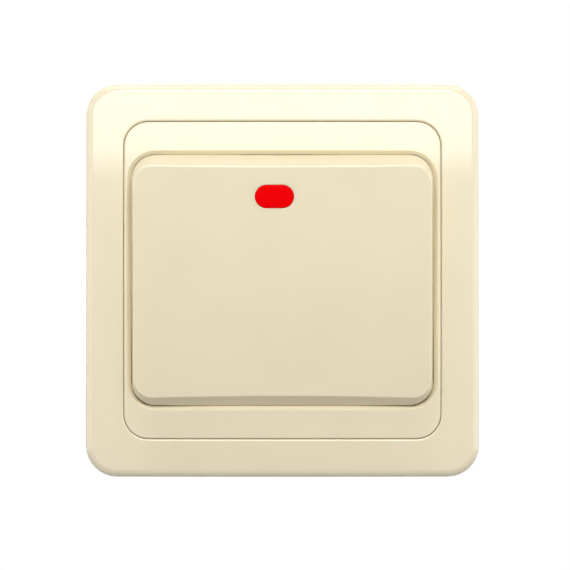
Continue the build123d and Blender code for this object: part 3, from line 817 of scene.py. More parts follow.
    def finish(self, finish: bpy.types.Material, body: Body, slot: Slot, *nodes: str) -> bpy.types.Object:
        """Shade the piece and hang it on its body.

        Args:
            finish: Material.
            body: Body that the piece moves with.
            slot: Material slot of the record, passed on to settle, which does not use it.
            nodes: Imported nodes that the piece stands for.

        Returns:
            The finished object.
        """
        mesh, layer = self.marks()
        mesh.verts.layers.int.remove(layer)
        bpy.ops.object.mode_set(mode="OBJECT")
        level_normals(self.obj)
        return settle(self.obj, finish, body, slot, *nodes)


def select_only(obj: bpy.types.Object) -> None:
    """Make an object the active one and the only one selected.

    Args:
        obj: The object.
    """
    bpy.ops.object.select_all(action="DESELECT")
    obj.select_set(True)
    bpy.context.view_layer.objects.active = obj


def join(whole: bpy.types.Object, part: bpy.types.Object) -> None:
    """Join one object's mesh to another's.

    Args:
        whole: Object that stays.
        part: Object that goes into it.
    """
    select_only(whole)
    part.select_set(True)
    bpy.ops.object.join()


def level_normals(obj: bpy.types.Object) -> None:
    """Shade rounds smoothly and keep flat faces flat up to their edges.

    Args:
        obj: The active object.
    """
    bpy.ops.object.shade_smooth_by_angle(angle=SMOOTH_ANGLE)
    weigh = obj.modifiers.new("flat_faces_flat", "WEIGHTED_NORMAL")
    weigh.keep_sharp = True
    bpy.ops.object.modifier_apply(modifier=weigh.name)


def settle(
    obj: bpy.types.Object, finish: bpy.types.Material, body: Body, slot: Slot, *nodes: str
) -> bpy.types.Object:
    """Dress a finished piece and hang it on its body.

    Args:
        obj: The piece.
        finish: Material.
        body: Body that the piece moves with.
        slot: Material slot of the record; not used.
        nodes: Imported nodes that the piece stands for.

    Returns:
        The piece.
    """
    obj.data.materials.clear()
    obj.data.materials.append(finish)
    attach(obj, body.value)
    if nodes:
        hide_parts(*nodes)
    LOG.info("%s: %d faces on %s", obj.name, len(obj.data.polygons), body.value)
    return obj


FRONT = Dome(10.0, 400.0)
FRONT_GRID = LoopGrid(8, 24, 24)


@dataclass(frozen=True)
class OuterFrame:
    """Domed square frame with its window, its ledge and the ribs behind it."""

    size: float = 82.0
    corner: float = 6.5
    skin: float = 2.0
    edge_round: float = 2.0
    edge_steps: int = 7
    window: float = 66.06
    window_corner: float = 5.08
    seam_round: float = 0.4
    seam_steps: int = 4
    face_parts: int = 4
    ledge_top: float = 5.0
    ledge_back: float = 3.5
    ledge_width: float = 63.96
    ledge_height: float = 61.16
    ledge_corner: float = 4.0
    skirt: float = 69.06
    skirt_corner: float = 6.5
    rib_thick: float = 1.0
    rib_low: float = 4.0
    rib_high: float = 6.9
    rib_overlap: float = 0.4
    ribs: int = 3

    def build(self, finish: bpy.types.Material) -> bpy.types.Object:
        """Model the frame.

        Args:
            finish: Ivory plastic.

        Returns:
            The frame's object.
        """
        work = Workpiece("frame_moulding")
        outer = Outline(self.size, self.size, self.corner).samples(FRONT_GRID)
        window = Outline(self.window, self.window, self.window_corner).samples(FRONT_GRID)
        rim = FRONT.outer_edge(outer, self.edge_round, self.edge_steps)
        seam = FRONT.inner_edge(window, self.seam_round, self.seam_steps)
        face = FRONT.bands(rim[-1], seam[0], evenly(self.face_parts))
        first = work.start(level(spots(outer), 0.0))
        last = work.grow(first, rim + face + seam)
        last = work.grow(last, self.back_loops(spots(window)))
        work.bridge(last, first)
        work.outward()
        self.add_ribs(work)
        return work.finish(finish, Body.SWITCH, Slot.IVORY, "outer_frame")

    def back_loops(self, window: Loop) -> list[Loop]:
        """Loops from the window's wall over the ledge and the skirt to the inner rim.

        Args:
            window: The window's outline.

        Returns:
            Loops in order.
        """
        ledge = Outline(self.ledge_width, self.ledge_height, self.ledge_corner).points(FRONT_GRID)
        skirt = Outline(self.skirt, self.skirt, self.skirt_corner).points(FRONT_GRID)
        inner_size = self.size - 2 * self.skin
        inner = Outline(inner_size, inner_size, self.corner - self.skin).points(FRONT_GRID)
        return [
            level(window, self.ledge_top),
            level(ledge, self.ledge_top),
            level(ledge, self.ledge_back),
            level(skirt, self.ledge_back),
            *FRONT.bands(skirt, inner, (0.0, *THIRDS, 1.0), self.skin),
            level(inner, 0.0),
        ]

    def add_ribs(self, work: Workpiece) -> None:
        """Stiffening ribs between the skirt and the outer wall on all four sides.

        Args:
            work: The frame being modelled.
        """
        low = self.skirt / 2 - self.rib_overlap
        high = self.size / 2 - self.skin + self.rib_overlap
        step = self.skirt / (self.ribs + 1)
        half = self.rib_thick / 2
        for index in range(self.ribs):
            place = (index - (self.ribs - 1) / 2) * step
            for side in (-1, 1):
                near, far = sorted((side * low, side * high))
                work.block(
                    Vector((near, place - half, self.rib_low)), Vector((far, place + half, self.rib_high))
                )
                work.block(
                    Vector((place - half, near, self.rib_low)), Vector((place + half, far, self.rib_high))
                )


@dataclass(frozen=True)
class CoverPlate:
    """Domed plate round the rocker with clips that hook behind the steel plate."""

    size: float = 65.9
    corner: float = 5.0
    opening_width: float = 62.9
    opening_height: float = 52.3
    opening_corner: float = 5.0
    back: float = 5.0
    seam_round: float = 0.4
    seam_steps: int = 4
    lip_bevel: float = 0.8
    lip_soft: float = 0.15
    lip_depth: float = 0.03
    relief: float = 0.36
    pocket_wall: float = 1.1
    skin: float = 2.0
    clip_x: float = 9.0
    clip_width: float = 5.0
    clip_y: float = 28.2
    clip_thick: float = 1.5
    clip_nose: float = 0.7
    clip_tip: float = 1.8
    clip_gap: float = 0.05
    clip_top: float = 7.4

    def opening(self, margin: float) -> Outline:
        """Outline of the opening, grown by a margin.

        Args:
            margin: Distance out from the opening's edge.

        Returns:
            The outline.
        """
        width = self.opening_width + 2 * margin
        height = self.opening_height + 2 * margin
        return Outline(width, height, self.opening_corner + margin)

    def build(self, finish: bpy.types.Material) -> bpy.types.Object:
        """Model the plate.

        Args:
            finish: Ivory plastic.

        Returns:
            The plate's object.
        """
        work = Workpiece("cover_moulding")
        outer = Outline(self.size, self.size, self.corner).samples(FRONT_GRID)
        opening = self.opening(0.0).samples(FRONT_GRID)
        rim = FRONT.outer_edge(outer, self.seam_round, self.seam_steps)
        lip = across(
            [
                bevelled_edge(FRONT.lift(spot), FRONT.along(spot, out), DOWN, self.lip_bevel, self.lip_soft)
                for spot, out in opening
            ]
        )
        face = FRONT.bands(rim[-1], lip[0], THIRDS)
        wider = self.opening(self.relief).points(FRONT_GRID)
        step = [spot.z - self.lip_depth for spot in lip[-1]]
        throat = [
            [at_height(spot, height) for (spot, _), height in zip(opening, step)],
            [at_height(spot, height) for spot, height in zip(wider, step)],
            level(wider, self.back),
        ]
        first = work.start(level(spots(outer), self.back))
        last = work.grow(first, rim + face + lip + throat)
        work.bridge(last, first)
        for side in (-1, 1):
            self.hollow(work, side)
        work.outward()
        for side in (-1, 1):
            for place in (-self.clip_x, self.clip_x):
                self.add_clip(work, side, place)
        return work.finish(finish, Body.SWITCH, Slot.IVORY, "cover_plate")

    def hollow(self, work: Workpiece, side: int) -> None:
        """Pocket behind one band: its back faces inset and pushed towards the front.

        Args:
            work: The plate being modelled.
            side: 1 for the upper band, -1 for the lower one.
        """
        bpy.ops.mesh.select_all(action="DESELECT")
        bpy.ops.mesh.select_mode(type="FACE")
        mesh, _ = work.marks()
        reach = self.size / 2 - self.corner
        for face in mesh.faces:
            middle = face.calc_center_median() / MM
            flat = abs(middle.y + self.back) < FLAT_MM
            if flat and side * middle.z > self.opening_height / 2 and abs(middle.x) < reach:
                face.select_set(True)
        bmesh.update_edit_mesh(work.obj.data)
        bpy.ops.mesh.inset(thickness=self.pocket_wall * MM, use_boundary=True)
        bpy.ops.mesh.extrude_region_move()
        mesh, _ = work.marks()
        for vertex in mesh.verts:
            if vertex.select:
                spot = Vector((vertex.co.x, vertex.co.z, 0)) / MM
                vertex.co = work.place(FRONT.lift(spot, self.skin))
        bmesh.update_edit_mesh(work.obj.data)
        bpy.ops.mesh.select_mode(type="EDGE")

    def add_clip(self, work: Workpiece, side: int, place: float) -> None:
        """One spring clip with its hooked end.

        Args:
            work: The plate being modelled.
            side: 1 for the upper band, -1 for the lower one.
            place: Middle of the clip across the plate.
        """
        low = self.clip_y
        nose = low - self.clip_nose
        profile = (
            (low + self.clip_thick, self.clip_top),
            (low + self.clip_thick, -self.clip_tip),
            (low, -self.clip_tip),
            (nose, -self.clip_tip / 2),
            (nose, -self.clip_gap),
            (low, -self.clip_gap),
            (low, self.clip_top),
        )
        edge = place - self.clip_width / 2
        outline = [Vector((edge, side * y, z)) for y, z in profile]
        work.bar(outline, Vector((self.clip_width, 0, 0)))


@dataclass(frozen=True)
class RockerKey:
    """Crowned tilting key with drafted walls, and its indicator window."""

    width: float = 62.87
    sweep: float = 26.48
    barrel: float = 2600.0
    drum_corner: float = 4.95
    wall_corner: float = 5.4
    face_corner: float = 3.6
    face_top: float = 24.15
    face_low: float = 23.1
    wall: float = 1.8
    face_round: float = 0.4
    round_steps: int = 8
    face_parts: int = 16
    roof_parts: int = 6
    foot_round: float = 0.15
    side_draft: float = 7.0
    top_draft: float = 17.0
    low_draft: float = 38.2
    lip_height: float = 8.345
    skirt_low: float = 5.7
    head: float = 14.0
    tilt: float = 4.0
    pivot: float = 4.0
    seat: float = 10.9
    lens_fit: float = 0.05
    lens_pad: float = 1.6
    lens_flange: float = 0.9
    flange_thick: float = 0.8
    lens_proud: float = 0.2
    lens_steps: int = 5
    lens_facets: int = 72
    lens_rings: tuple[float, ...] = (0.3, 0.6, 0.85, 0.97)
    hole_round: float = 0.12
    hole_steps: int = 3
    lens: Stadium = Stadium(-1.65, 17.95, 8.0, 4.75)
    crown: Dome = Dome(13.4, 700.0)
    grid: LoopGrid = LoopGrid(8, 24, 20)
    rib_low: float = 9.4
    rib_top: float = 12.0
    rib_half: float = 0.5
    upright_x: float = 15.0
    upright_half: float = 21.0
    cross_y: float = 12.475
    cross_half: float = 29.0
    platform_top: float = 7.5
    platform_low: float = 4.5
    pad_x: float = 3.8
    pad_thick: float = 1.2
    pad_half: float = 9.0
    prong_near: float = 5.7
    prong_far: float = 7.3
    prong_nose: float = 0.6
    prong_tip: float = 1.6
    prong_width: float = 4.6

    def place(self, spot: Vector) -> Vector:
        """Turn a point of the level key to its rest position, top end out.

        Args:
            spot: Point of the level key.

        Returns:
            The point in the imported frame.
        """
        turn = Matrix.Rotation(math.radians(self.tilt), 3, "X")
        pivot = Vector((0, 0, self.pivot))
        return to_row(turn @ (spot - pivot) + pivot)

    def outline(self, height: float, corner: float, inset: float) -> Outline:
        """Outline of the drafted walls at a height.

        Args:
            height: Height over the wall.
            corner: Corner radius there.
            inset: Distance in from the outside.

        Returns:
            The outline.
        """
        rise = height - self.crown.crown
        top = self.face_top - rise * math.tan(math.radians(self.top_draft)) - inset
        low = self.face_low - rise * math.tan(math.radians(self.low_draft)) - inset
        draft = (height - self.lip_height) * math.tan(math.radians(self.side_draft))
        half = self.width / 2 - draft - inset
        return Outline(2 * half, top + low, corner - inset, (top - low) / 2)

    def walls(self, inset: float) -> tuple[list[Loop], Loop, list[Vector]]:
        """Skirt and drafted walls.

        Args:
            inset: Distance in from the outside.

        Returns:
            Loops from the skirt's low edge to its top, loop at the top of the draft, outward directions.
        """
        wide = self.outline(self.skirt_low, self.wall_corner, inset)
        face = self.outline(self.head, self.face_corner, inset)
        low = level(wide.points(self.grid), self.skirt_low)
        top = level(face.points(self.grid), self.head)
        half = self.width / 2 - inset
        sweep = self.sweep - inset
        corner = self.drum_corner - inset
        drum = Outline(2 * half, 2 * sweep, corner)

        def belly(spot: Vector) -> float:
            """How far the drum is drawn in to the sides, as the domed lip is lower there."""
            return spot.x**2 / (2 * self.barrel)

        def clear(spot: Vector) -> bool:
            """Whether a point lies inside the round-edged drum about the pivot."""
            arm = math.hypot(spot.y, spot.z - self.pivot)
            return drum.holds(Vector((spot.x, arm + belly(spot), 0)))

        foot = [first_inside(first, last, clear) for first, last in zip(low, top)]
        reach = math.sqrt(sweep * sweep - (self.skirt_low - self.pivot) ** 2)
        skirt = Outline(2 * half, 2 * reach, corner).points(self.grid)
        edge = [Vector((spot.x, spot.y * (1 - belly(spot) / reach), self.skirt_low)) for spot in skirt]
        return [edge, foot], top, [out for _, out in face.samples(self.grid)]

    def meet(self, foot: Vector, top: Vector, depth: float) -> Vector:
        """Point where a wall line reaches the crown, or a surface a depth under it."""
        return first_inside(top, foot, lambda spot: spot.z <= self.crown.lift(spot, depth).z)

    def build(self, finish: bpy.types.Material) -> bpy.types.Object:
        """Model the key as one closed shell round the window.

        Args:
            finish: Ivory plastic.

        Returns:
            The key's object.
        """
        work = Workpiece("rocker_moulding", self.place)
        (edge, foot), top, outs = self.walls(0.0)
        edges = []
        for low, high, out in zip(foot, top, outs):
            brow = self.meet(low, high, 0.0)
            wall = (low - high).normalized()
            face = self.crown.along(brow, -out)
            edges.append(rounded_edge(brow, wall, face, self.face_round, self.round_steps))
        rim = across(edges)
        count = len(foot)
        hole = self.lens.grown(self.lens_fit).samples(count)
        mouth = self.crown.inner_edge(hole, self.hole_round, self.hole_steps)
        front = self.crown.bands(rim[-1], mouth[0], evenly(self.face_parts))
        under = [spot + (low - spot).normalized() * self.foot_round for spot, low in zip(foot, edge)]
        over = [spot + (high - spot).normalized() * self.foot_round for spot, high in zip(foot, rim[0])]
        first = work.start(edge)
        last = work.grow(first, [under, over] + rim + front + mouth)
        last = work.grow(last, self.inner_loops(count))
        work.bridge(last, first)
        work.outward()
        self.add_inside(work)
        return work.finish(finish, Body.ROCKER, Slot.IVORY, "rocker")

    def inner_loops(self, count: int) -> list[Loop]:
        """Loops down the window, round its pad, over the inner face and down the inner walls.

        Args:
            count: Points in each loop.

        Returns:
            Loops in order.
        """
        hole = spots(self.lens.grown(self.lens_fit).samples(count))
        pad = spots(self.lens.grown(self.lens_pad).samples(count))
        (edge, foot), top, _ = self.walls(self.wall)
        corner = [self.meet(low, high, self.wall) for low, high in zip(foot, top)]
        roof = self.crown.bands(pad, corner, (0.0, *evenly(self.roof_parts), 1.0), self.wall)
        return [level(hole, self.seat), level(pad, self.seat), *roof, foot, edge]

    def add_inside(self, work: Workpiece) -> None:
        """Ribs, pads on the carrier and the two hooked prongs.

        Args:
            work: The key being modelled.
        """
        low, top = self.platform_low, self.rib_top
        nose = self.prong_far + self.prong_nose
        prong = (
            (self.prong_near, top),
            (self.prong_near, low - self.prong_tip),
            (self.prong_far, low - self.prong_tip),
            (nose, low - self.prong_nose),
            (nose, low),
            (self.prong_far, low),
            (self.prong_far, top),
        )
        rib_z, rib_tall = (top + self.rib_low) / 2, (top - self.rib_low) / 2
        pad_z, pad_tall = (top + self.platform_top) / 2, (top - self.platform_top) / 2
        for side in (-1, 1):
            blocks = (
                ((side * self.upright_x, 0, rib_z), (self.rib_half, self.upright_half, rib_tall)),
                ((0, side * self.cross_y, rib_z), (self.cross_half, self.rib_half, rib_tall)),
                ((side * self.pad_x, 0, pad_z), (self.pad_thick / 2, self.pad_half, pad_tall)),
            )
            for middle, half in blocks:
                work.block(Vector(middle) - Vector(half), Vector(middle) + Vector(half))
            outline = [Vector((-self.prong_width / 2, side * y, z)) for y, z in prong]
            work.bar(outline, Vector((self.prong_width, 0, 0)))

    def build_lens(self, finish: bpy.types.Material) -> bpy.types.Object:
        """Model the lens with its flange and its rounded, slightly proud face.

        Args:
            finish: Red acrylic.

        Returns:
            The lens's object.
        """
        work = Workpiece("indicator_window", self.place)
        crown = Dome(self.crown.crown + self.lens_proud, self.crown.radius + self.lens_proud)
        body = self.lens.samples(self.lens_facets)
        flange = spots(self.lens.grown(self.lens_flange).samples(self.lens_facets))
        rim = crown.outer_edge(body, self.lens_proud, self.lens_steps)
        middle = [Vector((self.lens.centre_x, self.lens.centre_y, 0))] * self.lens_facets
        face = crown.bands(rim[-1], middle, self.lens_rings)
        first = work.start(level(flange, self.seat - self.flange_thick))
        last = work.grow(first, [level(flange, self.seat), level(spots(body), self.seat)] + rim + face)
        work.cap(last)
        work.cap(first)
        work.outward()
        return work.finish(finish, Body.ROCKER, Slot.LENS, "indicator_lens")


@dataclass(frozen=True)
class SoftenedNode:
    """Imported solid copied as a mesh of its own, with its sharp outer edges softened."""

    node: str
    name: str
    body: Body
    slot: Slot
    finish: Finish
    soft_mm: float
    merge_mm: float = 0.0005

    def build(self, source: bpy.types.Object, finish: bpy.types.Material) -> bpy.types.Object:
        """Copy the solid, soften it and hang it on its body.

        Args:
            source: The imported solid.
            finish: Material.

        Returns:
            The softened object.
        """
        obj = self.copied(source)
        self.soften(obj)
        return settle(obj, finish, self.body, self.slot, self.node)

    def copied(self, source: bpy.types.Object) -> bpy.types.Object:
        """Copy the solid and join its triangles into whole faces.

        Args:
            source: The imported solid.

        Returns:
            The copy, active and alone selected.
        """
        obj = bpy.data.objects.new(self.name, source.data.copy())
        obj.data.name = self.name
        bpy.context.scene.collection.objects.link(obj)
        select_only(obj)
        bpy.ops.object.mode_set(mode="EDIT")
        bpy.ops.mesh.select_all(action="SELECT")
        bpy.ops.mesh.remove_doubles(threshold=self.merge_mm * MM)
        bpy.ops.mesh.dissolve_limited(angle_limit=FLAT_ANGLE)
        bpy.ops.object.mode_set(mode="OBJECT")
        return obj

    def soften(self, obj: bpy.types.Object) -> None:
        """Round the sharp outer edges over and keep flat faces flat.

        Inner corners stay as they are, because other pieces lie in them.

        Args:
            obj: The active object.
        """
        mesh = bmesh.new()
        mesh.from_mesh(obj.data)
        weight = mesh.edges.layers.float.new("bevel_weight_edge")
        for edge in mesh.edges:
            if edge.is_convex and edge.calc_face_angle(0.0) > SHARP_ANGLE:
                edge[weight] = 1.0
        mesh.to_mesh(obj.data)
        mesh.free()
        edges = obj.modifiers.new("soft_edges", "BEVEL")
        edges.width = self.soft_mm * MM
        edges.segments = SOFT_SEGMENTS
        edges.limit_method = "WEIGHT"
        # Clamping would shrink every bevel to the narrowest facet of a round.
        edges.use_clamp_overlap = False
        bpy.ops.object.modifier_apply(modifier=edges.name)
        level_normals(obj)


@dataclass(frozen=True)
class ThreadedScrew(SoftenedNode):
    """Slotted screw whose packed head keeps its form, with a cut thread on the shank."""

    axis_x: float = 0.0
    seat: float = 1.0
    length: float = 16.0
    radius: float = 1.35
    pitch: float = 0.5
    thread_depth: float = 0.27
    crest: tuple[float, float] = (0.42, 0.58)
    root_overlap: float = 0.4
    ridge_sink: float = 0.0425
    tip: float = 0.34
    steps: int = 20

    def build(self, source: bpy.types.Object, finish: bpy.types.Material) -> bpy.types.Object:
        """Keep the head, put a thread and a tip under it and join them.

        Args:
            source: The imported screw.
            finish: Material.

        Returns:
            The screw's object.
        """
        head = self.copied(source)
        bpy.ops.object.mode_set(mode="EDIT")
        bpy.ops.mesh.select_all(action="SELECT")
        bpy.ops.mesh.bisect(
            plane_co=to_row(Vector((self.axis_x, 0, self.seat - self.root_overlap))),
            plane_no=to_row(DOWN).normalized(),
            use_fill=True,
            clear_outer=True,
        )
        bpy.ops.object.mode_set(mode="OBJECT")
        self.soften(head)
        join(head, self.shank())
        return settle(head, finish, self.body, self.slot, self.node)

    def shank(self) -> bpy.types.Object:
        """Threaded shank: a thread's profile wound along the axis, closed by a bevelled tip.

        Returns:
            The shank's object.
        """
        root = self.radius - self.thread_depth
        low = self.seat - self.length
        neck = low + self.tip
        work = Workpiece("shank", lambda spot: to_row(spot + Vector((self.axis_x, 0, 0))))
        first = work.start(level(self.circle(root - self.tip / 2), low))
        last = work.grow(first, [level(self.circle(root), height) for height in (neck, neck + self.pitch)])
        work.cap(first)
        work.cap(last)
        work.outward()
        bpy.ops.object.mode_set(mode="OBJECT")
        join(work.obj, self.thread(low + self.tip / 2))
        level_normals(work.obj)
        return work.obj

    def circle(self, radius: float) -> Loop:
        """Points round the axis.

        Args:
            radius: Distance from the axis.

        Returns:
            One point for each step of the thread's turn.
        """
        turns = [2 * math.pi * step / self.steps for step in range(self.steps)]
        return [Vector((math.cos(turn), math.sin(turn), 0)) * radius for turn in turns]

    def thread(self, low: float) -> bpy.types.Object:
        """Ridge wound round the axis by a Screw modifier.

        Args:
            low: Height of its lower end.

        Returns:
            The ridge's object, closed at both ends.
        """
        root = self.radius - self.thread_depth - self.ridge_sink
        rise, fall = self.crest
        profile = ((root, 0.0), (self.radius, rise), (self.radius, fall), (root, 1.0))
        work = Workpiece("thread", lambda spot: spot * MM)
        ring = work.start([Vector((reach, 0, share * self.pitch)) for reach, share in profile])
        mesh, _ = work.marks()
        vertices = work.numbered()
        bpy.ops.mesh.select_all(action="DESELECT")
        mesh.edges.get((vertices[ring[-1]], vertices[ring[0]])).select_set(True)
        bmesh.update_edit_mesh(work.obj.data)
        bpy.ops.mesh.delete(type="EDGE")
        bpy.ops.object.mode_set(mode="OBJECT")
        height = self.seat - self.root_overlap / 2 - low
        wind = work.obj.modifiers.new("thread_turns", "SCREW")
        wind.screw_offset = self.pitch * MM
        wind.iterations = int(height / self.pitch) - 1
        wind.steps = self.steps
        wind.render_steps = self.steps
        wind.use_merge_vertices = True
        wind.merge_threshold = MERGE_MM * MM
        bpy.ops.object.modifier_apply(modifier=wind.name)
        for vertex in work.obj.data.vertices:
            vertex.co = to_row(vertex.co / MM + Vector((self.axis_x, 0, low)))
        bpy.ops.object.mode_set(mode="EDIT")
        bpy.ops.mesh.select_all(action="SELECT")
        bpy.ops.mesh.remove_doubles(threshold=MERGE_MM * MM)
        bpy.ops.mesh.fill_holes(sides=0)
        bpy.ops.mesh.select_all(action="SELECT")
        bpy.ops.mesh.normals_make_consistent(inside=False)
        bpy.ops.object.mode_set(mode="OBJECT")
        return work.obj


@dataclass(frozen=True)
class Softbox:
    """Flat soft lamp that faces the switch: angles in degrees, lengths in metres."""

    name: str
    side_deg: float
    lift_deg: float
    distance: float
    width: float
    height: float
    radiance: float

    def build(self) -> None:
        """Hang the lamp at its place, unseen by the camera."""
        side = math.radians(self.side_deg)
        lift = math.radians(self.lift_deg)
        flat = self.distance * math.cos(lift)
        spot = Vector((flat * math.sin(side), -flat * math.cos(side), self.distance * math.sin(lift)))
        data = bpy.data.lights.new(self.name, "AREA")
        data.shape = "RECTANGLE"
        data.size = self.width
        data.size_y = self.height
        data.energy = self.radiance * math.pi * self.width * self.height
        lamp = bpy.data.objects.new(self.name, data)
        bpy.context.scene.collection.objects.link(lamp)
        lamp.location = spot
        lamp.rotation_euler = (-spot).to_track_quat("-Z", "Y").to_euler()
        lamp.visible_camera = False


@dataclass(frozen=True)
class Studio:
    """Floor, white surroundings, soft lamps, a dark scrim and the camera, in metres unless named in mm."""

    floor_low: float = -0.6
    floor_half: float = 0.3
    distance: float = 1.0
    field_mm: float = 118.3
    shift_x_mm: float = 0.54
    shift_z_mm: float = -1.0
    face_mm: float = 10.0
    sensor_mm: float = 36.0
    clip_far: float = 20.0
    ambient: float = 0.17
    scrim_distance: float = 1.3
    scrim_width: float = 0.52
    scrim_height: float = 0.62
    scrim_top: float = -0.03
    scrim_dense: float = 0.5
    lamps: tuple[Softbox, ...] = (
        Softbox("lamp_front", 0.0, 14.3, 1.35, 1.5, 0.21, 5.0),
        Softbox("lamp_key", 1.5, 30.5, 1.1, 0.6, 0.21, 16.7),
        Softbox("lamp_top", 0.0, 76.0, 1.1, 1.2, 0.7, 1.9),
        Softbox("lamp_left", -84.0, 6.0, 1.1, 1.8, 0.9, 1.3),
        Softbox("lamp_right", 84.0, 6.0, 1.1, 1.8, 0.9, 1.6),
        Softbox("lamp_back", 180.0, 28.0, 1.2, 1.8, 1.4, 1.5),
    )

    def build(self) -> None:
        """Set up everything round the switch."""
        self.add_floor()
        self.add_scrim()
        self.add_world()
        for lamp in self.lamps:
            lamp.build()
        self.add_camera()
        bpy.context.scene.view_settings.view_transform = "Standard"

    def add_floor(self) -> None:
        """Pale paper floor under the switch."""
        bpy.ops.object.select_all(action="DESELECT")
        bpy.ops.mesh.primitive_plane_add(size=2 * self.floor_half, location=(0, 0, self.floor_low))
        floor = bpy.context.object
        floor.name = "studio_floor"
        # Matt paper: an even white with a faint tooth.
        paper = Finish("floor_paper", "#F4F3F1", "#F8F7F5", 60.0, 0.8, 0.9, 2.0, 0.02)
        floor.data.materials.append(paper.build())

    def add_scrim(self) -> None:
        """Black net behind the camera, denser towards its foot, that grades what the gloss reflects."""
        bpy.ops.object.select_all(action="DESELECT")
        bpy.ops.mesh.primitive_plane_add(size=1.0, rotation=(math.pi / 2, 0, 0))
        scrim = bpy.context.object
        scrim.name = "studio_scrim"
        scrim.scale = (self.scrim_width, self.scrim_height, 1.0)
        scrim.location = (0, -self.scrim_distance, self.scrim_top - self.scrim_height / 2)
        net = bpy.data.materials.new("scrim_net")
        net.use_nodes = True
        tree = net.node_tree
        tree.nodes.clear()
        place = add_node(tree, "ShaderNodeTexCoord").outputs["Object"]
        height = add_node(tree, "ShaderNodeSeparateXYZ", None, {"Vector": place}).outputs["Y"]
        # The unscaled plane is one unit high, from -0.5 at its foot to 0.5 at its top.
        open_share = add_node(
            tree, "ShaderNodeMapRange", {"From Min": self.scrim_dense - 0.5, "From Max": 0.5}, {"Value": height}
        ).outputs["Result"]
        # Black net: thread that takes nearly all light, with clear holes between.
        thread = add_node(tree, "ShaderNodeBsdfDiffuse", {"Color": linear("#070707")}).outputs["BSDF"]
        hole = add_node(tree, "ShaderNodeBsdfTransparent").outputs["BSDF"]
        mix = add_node(tree, "ShaderNodeMixShader", None, {"Fac": open_share, 1: thread, 2: hole})
        add_node(tree, "ShaderNodeOutputMaterial", None, {"Surface": mix.outputs["Shader"]})
        scrim.data.materials.append(net)
        scrim.visible_camera = False

    def add_world(self) -> None:
        """White to the camera, softer as a light."""
        world = bpy.data.worlds.new("white_surroundings")
        bpy.context.scene.world = world
        world.use_nodes = True
        tree = world.node_tree
        tree.nodes.clear()
        path = add_node(tree, "ShaderNodeLightPath")
        seen = path.outputs["Is Camera Ray"]
        for name in ("Is Glossy Ray", "Is Transmission Ray"):
            seen = add_node(
                tree, "ShaderNodeMath", {"operation": "MAXIMUM"}, {0: seen, 1: path.outputs[name]}
            ).outputs["Value"]
        soft = add_node(tree, "ShaderNodeBackground", {"Color": (1, 1, 1, 1), "Strength": self.ambient})
        white = add_node(tree, "ShaderNodeBackground", {"Color": (1, 1, 1, 1), "Strength": 1.0})
        mix = add_node(
            tree,
            "ShaderNodeMixShader",
            None,
            {"Fac": seen, 1: soft.outputs["Background"], 2: white.outputs["Background"]},
        )
        add_node(tree, "ShaderNodeOutputWorld", None, {"Surface": mix.outputs["Shader"]})

    def add_camera(self) -> None:
        """Camera square to the wall, a metre from the switch's face."""
        data = bpy.data.cameras.new("photo_camera")
        data.sensor_width = self.sensor_mm
        data.lens = self.sensor_mm * self.distance / (self.field_mm * MM)
        data.clip_end = self.clip_far
        camera = bpy.data.objects.new("photo_camera", data)
        bpy.context.scene.collection.objects.link(camera)
        camera.location = (self.shift_x_mm * MM, -self.distance - self.face_mm * MM, self.shift_z_mm * MM)
        camera.rotation_euler = (math.pi / 2, 0, 0)
        bpy.context.scene.camera = camera


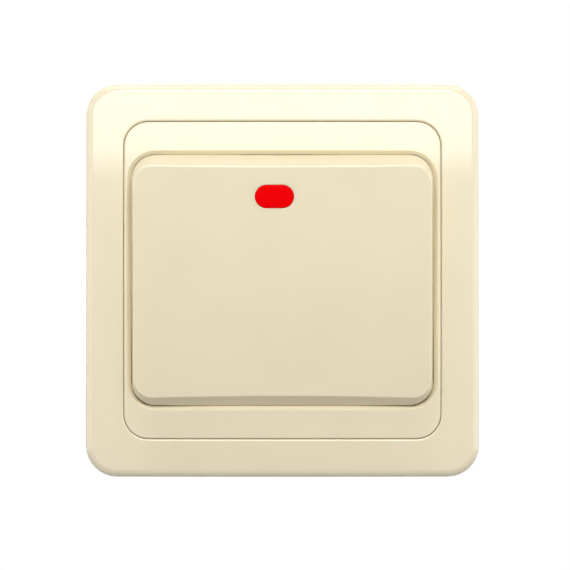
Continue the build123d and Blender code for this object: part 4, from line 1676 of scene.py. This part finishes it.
SOFTENED = (
    SoftenedNode("mechanism_base", "base_moulding", Body.SWITCH, Slot.BASE, BASE, 0.25),
    SoftenedNode("mechanism_cover", "lid_moulding", Body.SWITCH, Slot.WHITE, WHITE, 0.18),
    SoftenedNode("mounting_plate", "steel_plate", Body.SWITCH, Slot.ZINC, ZINC, 0.12),
    SoftenedNode("claw_right", "spread_claw_right", Body.CLAW_RIGHT, Slot.ZINC, ZINC, 0.1),
    SoftenedNode("claw_left", "spread_claw_left", Body.CLAW_LEFT, Slot.ZINC, ZINC, 0.1),
    SoftenedNode("line_clamp", "line_cage", Body.LINE_CLAMP, Slot.PLATED, PLATED, 0.1),
    SoftenedNode("load_clamp", "load_cage", Body.LOAD_CLAMP, Slot.PLATED, PLATED, 0.1),
    SoftenedNode("line_clamp_screw", "line_screw", Body.LINE_SCREW, Slot.PLATED, PLATED, 0.08),
    SoftenedNode("load_clamp_screw", "load_screw", Body.LOAD_SCREW, Slot.PLATED, PLATED, 0.08),
    ThreadedScrew(
        "claw_screw_right", "spread_screw_right", Body.CLAW_SCREW_RIGHT, Slot.PLATED, PLATED, 0.08, axis_x=23.5
    ),
    ThreadedScrew(
        "claw_screw_left", "spread_screw_left", Body.CLAW_SCREW_LEFT, Slot.PLATED, PLATED, 0.08, axis_x=-23.5
    ),
)
NODE_FINISHES: dict[str, Finish] = {
    "dolly": WHITE,
    "plunger": WHITE,
    "plunger_spring": SPRING,
    "contact_lever": BRASS,
    "lever_contact": SILVER,
    "line_terminal": BRASS,
    "load_terminal": BRASS,
    "load_contact": SILVER,
    "body_screws": PLATED,
    "neon_lamp": GLASS,
    "lamp_resistor": LACQUER,
    "lamp_lead_line": TINNED,
    "lamp_lead_resistor": TINNED,
    "resistor_lead_load": TINNED,
}


def main() -> None:
    """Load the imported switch, model its front, dress the rest and set the stage."""
    logging.basicConfig(level=logging.INFO, format="%(name)s: %(message)s")
    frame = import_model()
    ready: dict[str, bpy.types.Material] = {}

    def made(finish: Finish) -> bpy.types.Material:
        """Material of a finish, built once.

        Args:
            finish: The finish.

        Returns:
            Its material.
        """
        if finish.name not in ready:
            ready[finish.name] = finish.build()
        return ready[finish.name]

    OuterFrame().build(made(IVORY))
    CoverPlate().build(made(IVORY))
    key = RockerKey()
    key.build(made(IVORY))
    key.build_lens(made(RED_LENS))
    for piece in SOFTENED:
        piece.build(frame["nodes"][piece.node], made(piece.finish))
    for node, finish in NODE_FINISHES.items():
        materials = frame["nodes"][node].data.materials
        materials.clear()
        materials.append(made(finish))
        LOG.info("%s: dressed as %s", node, finish.name)
    Studio().build()


if __name__ == "__main__":
    main()
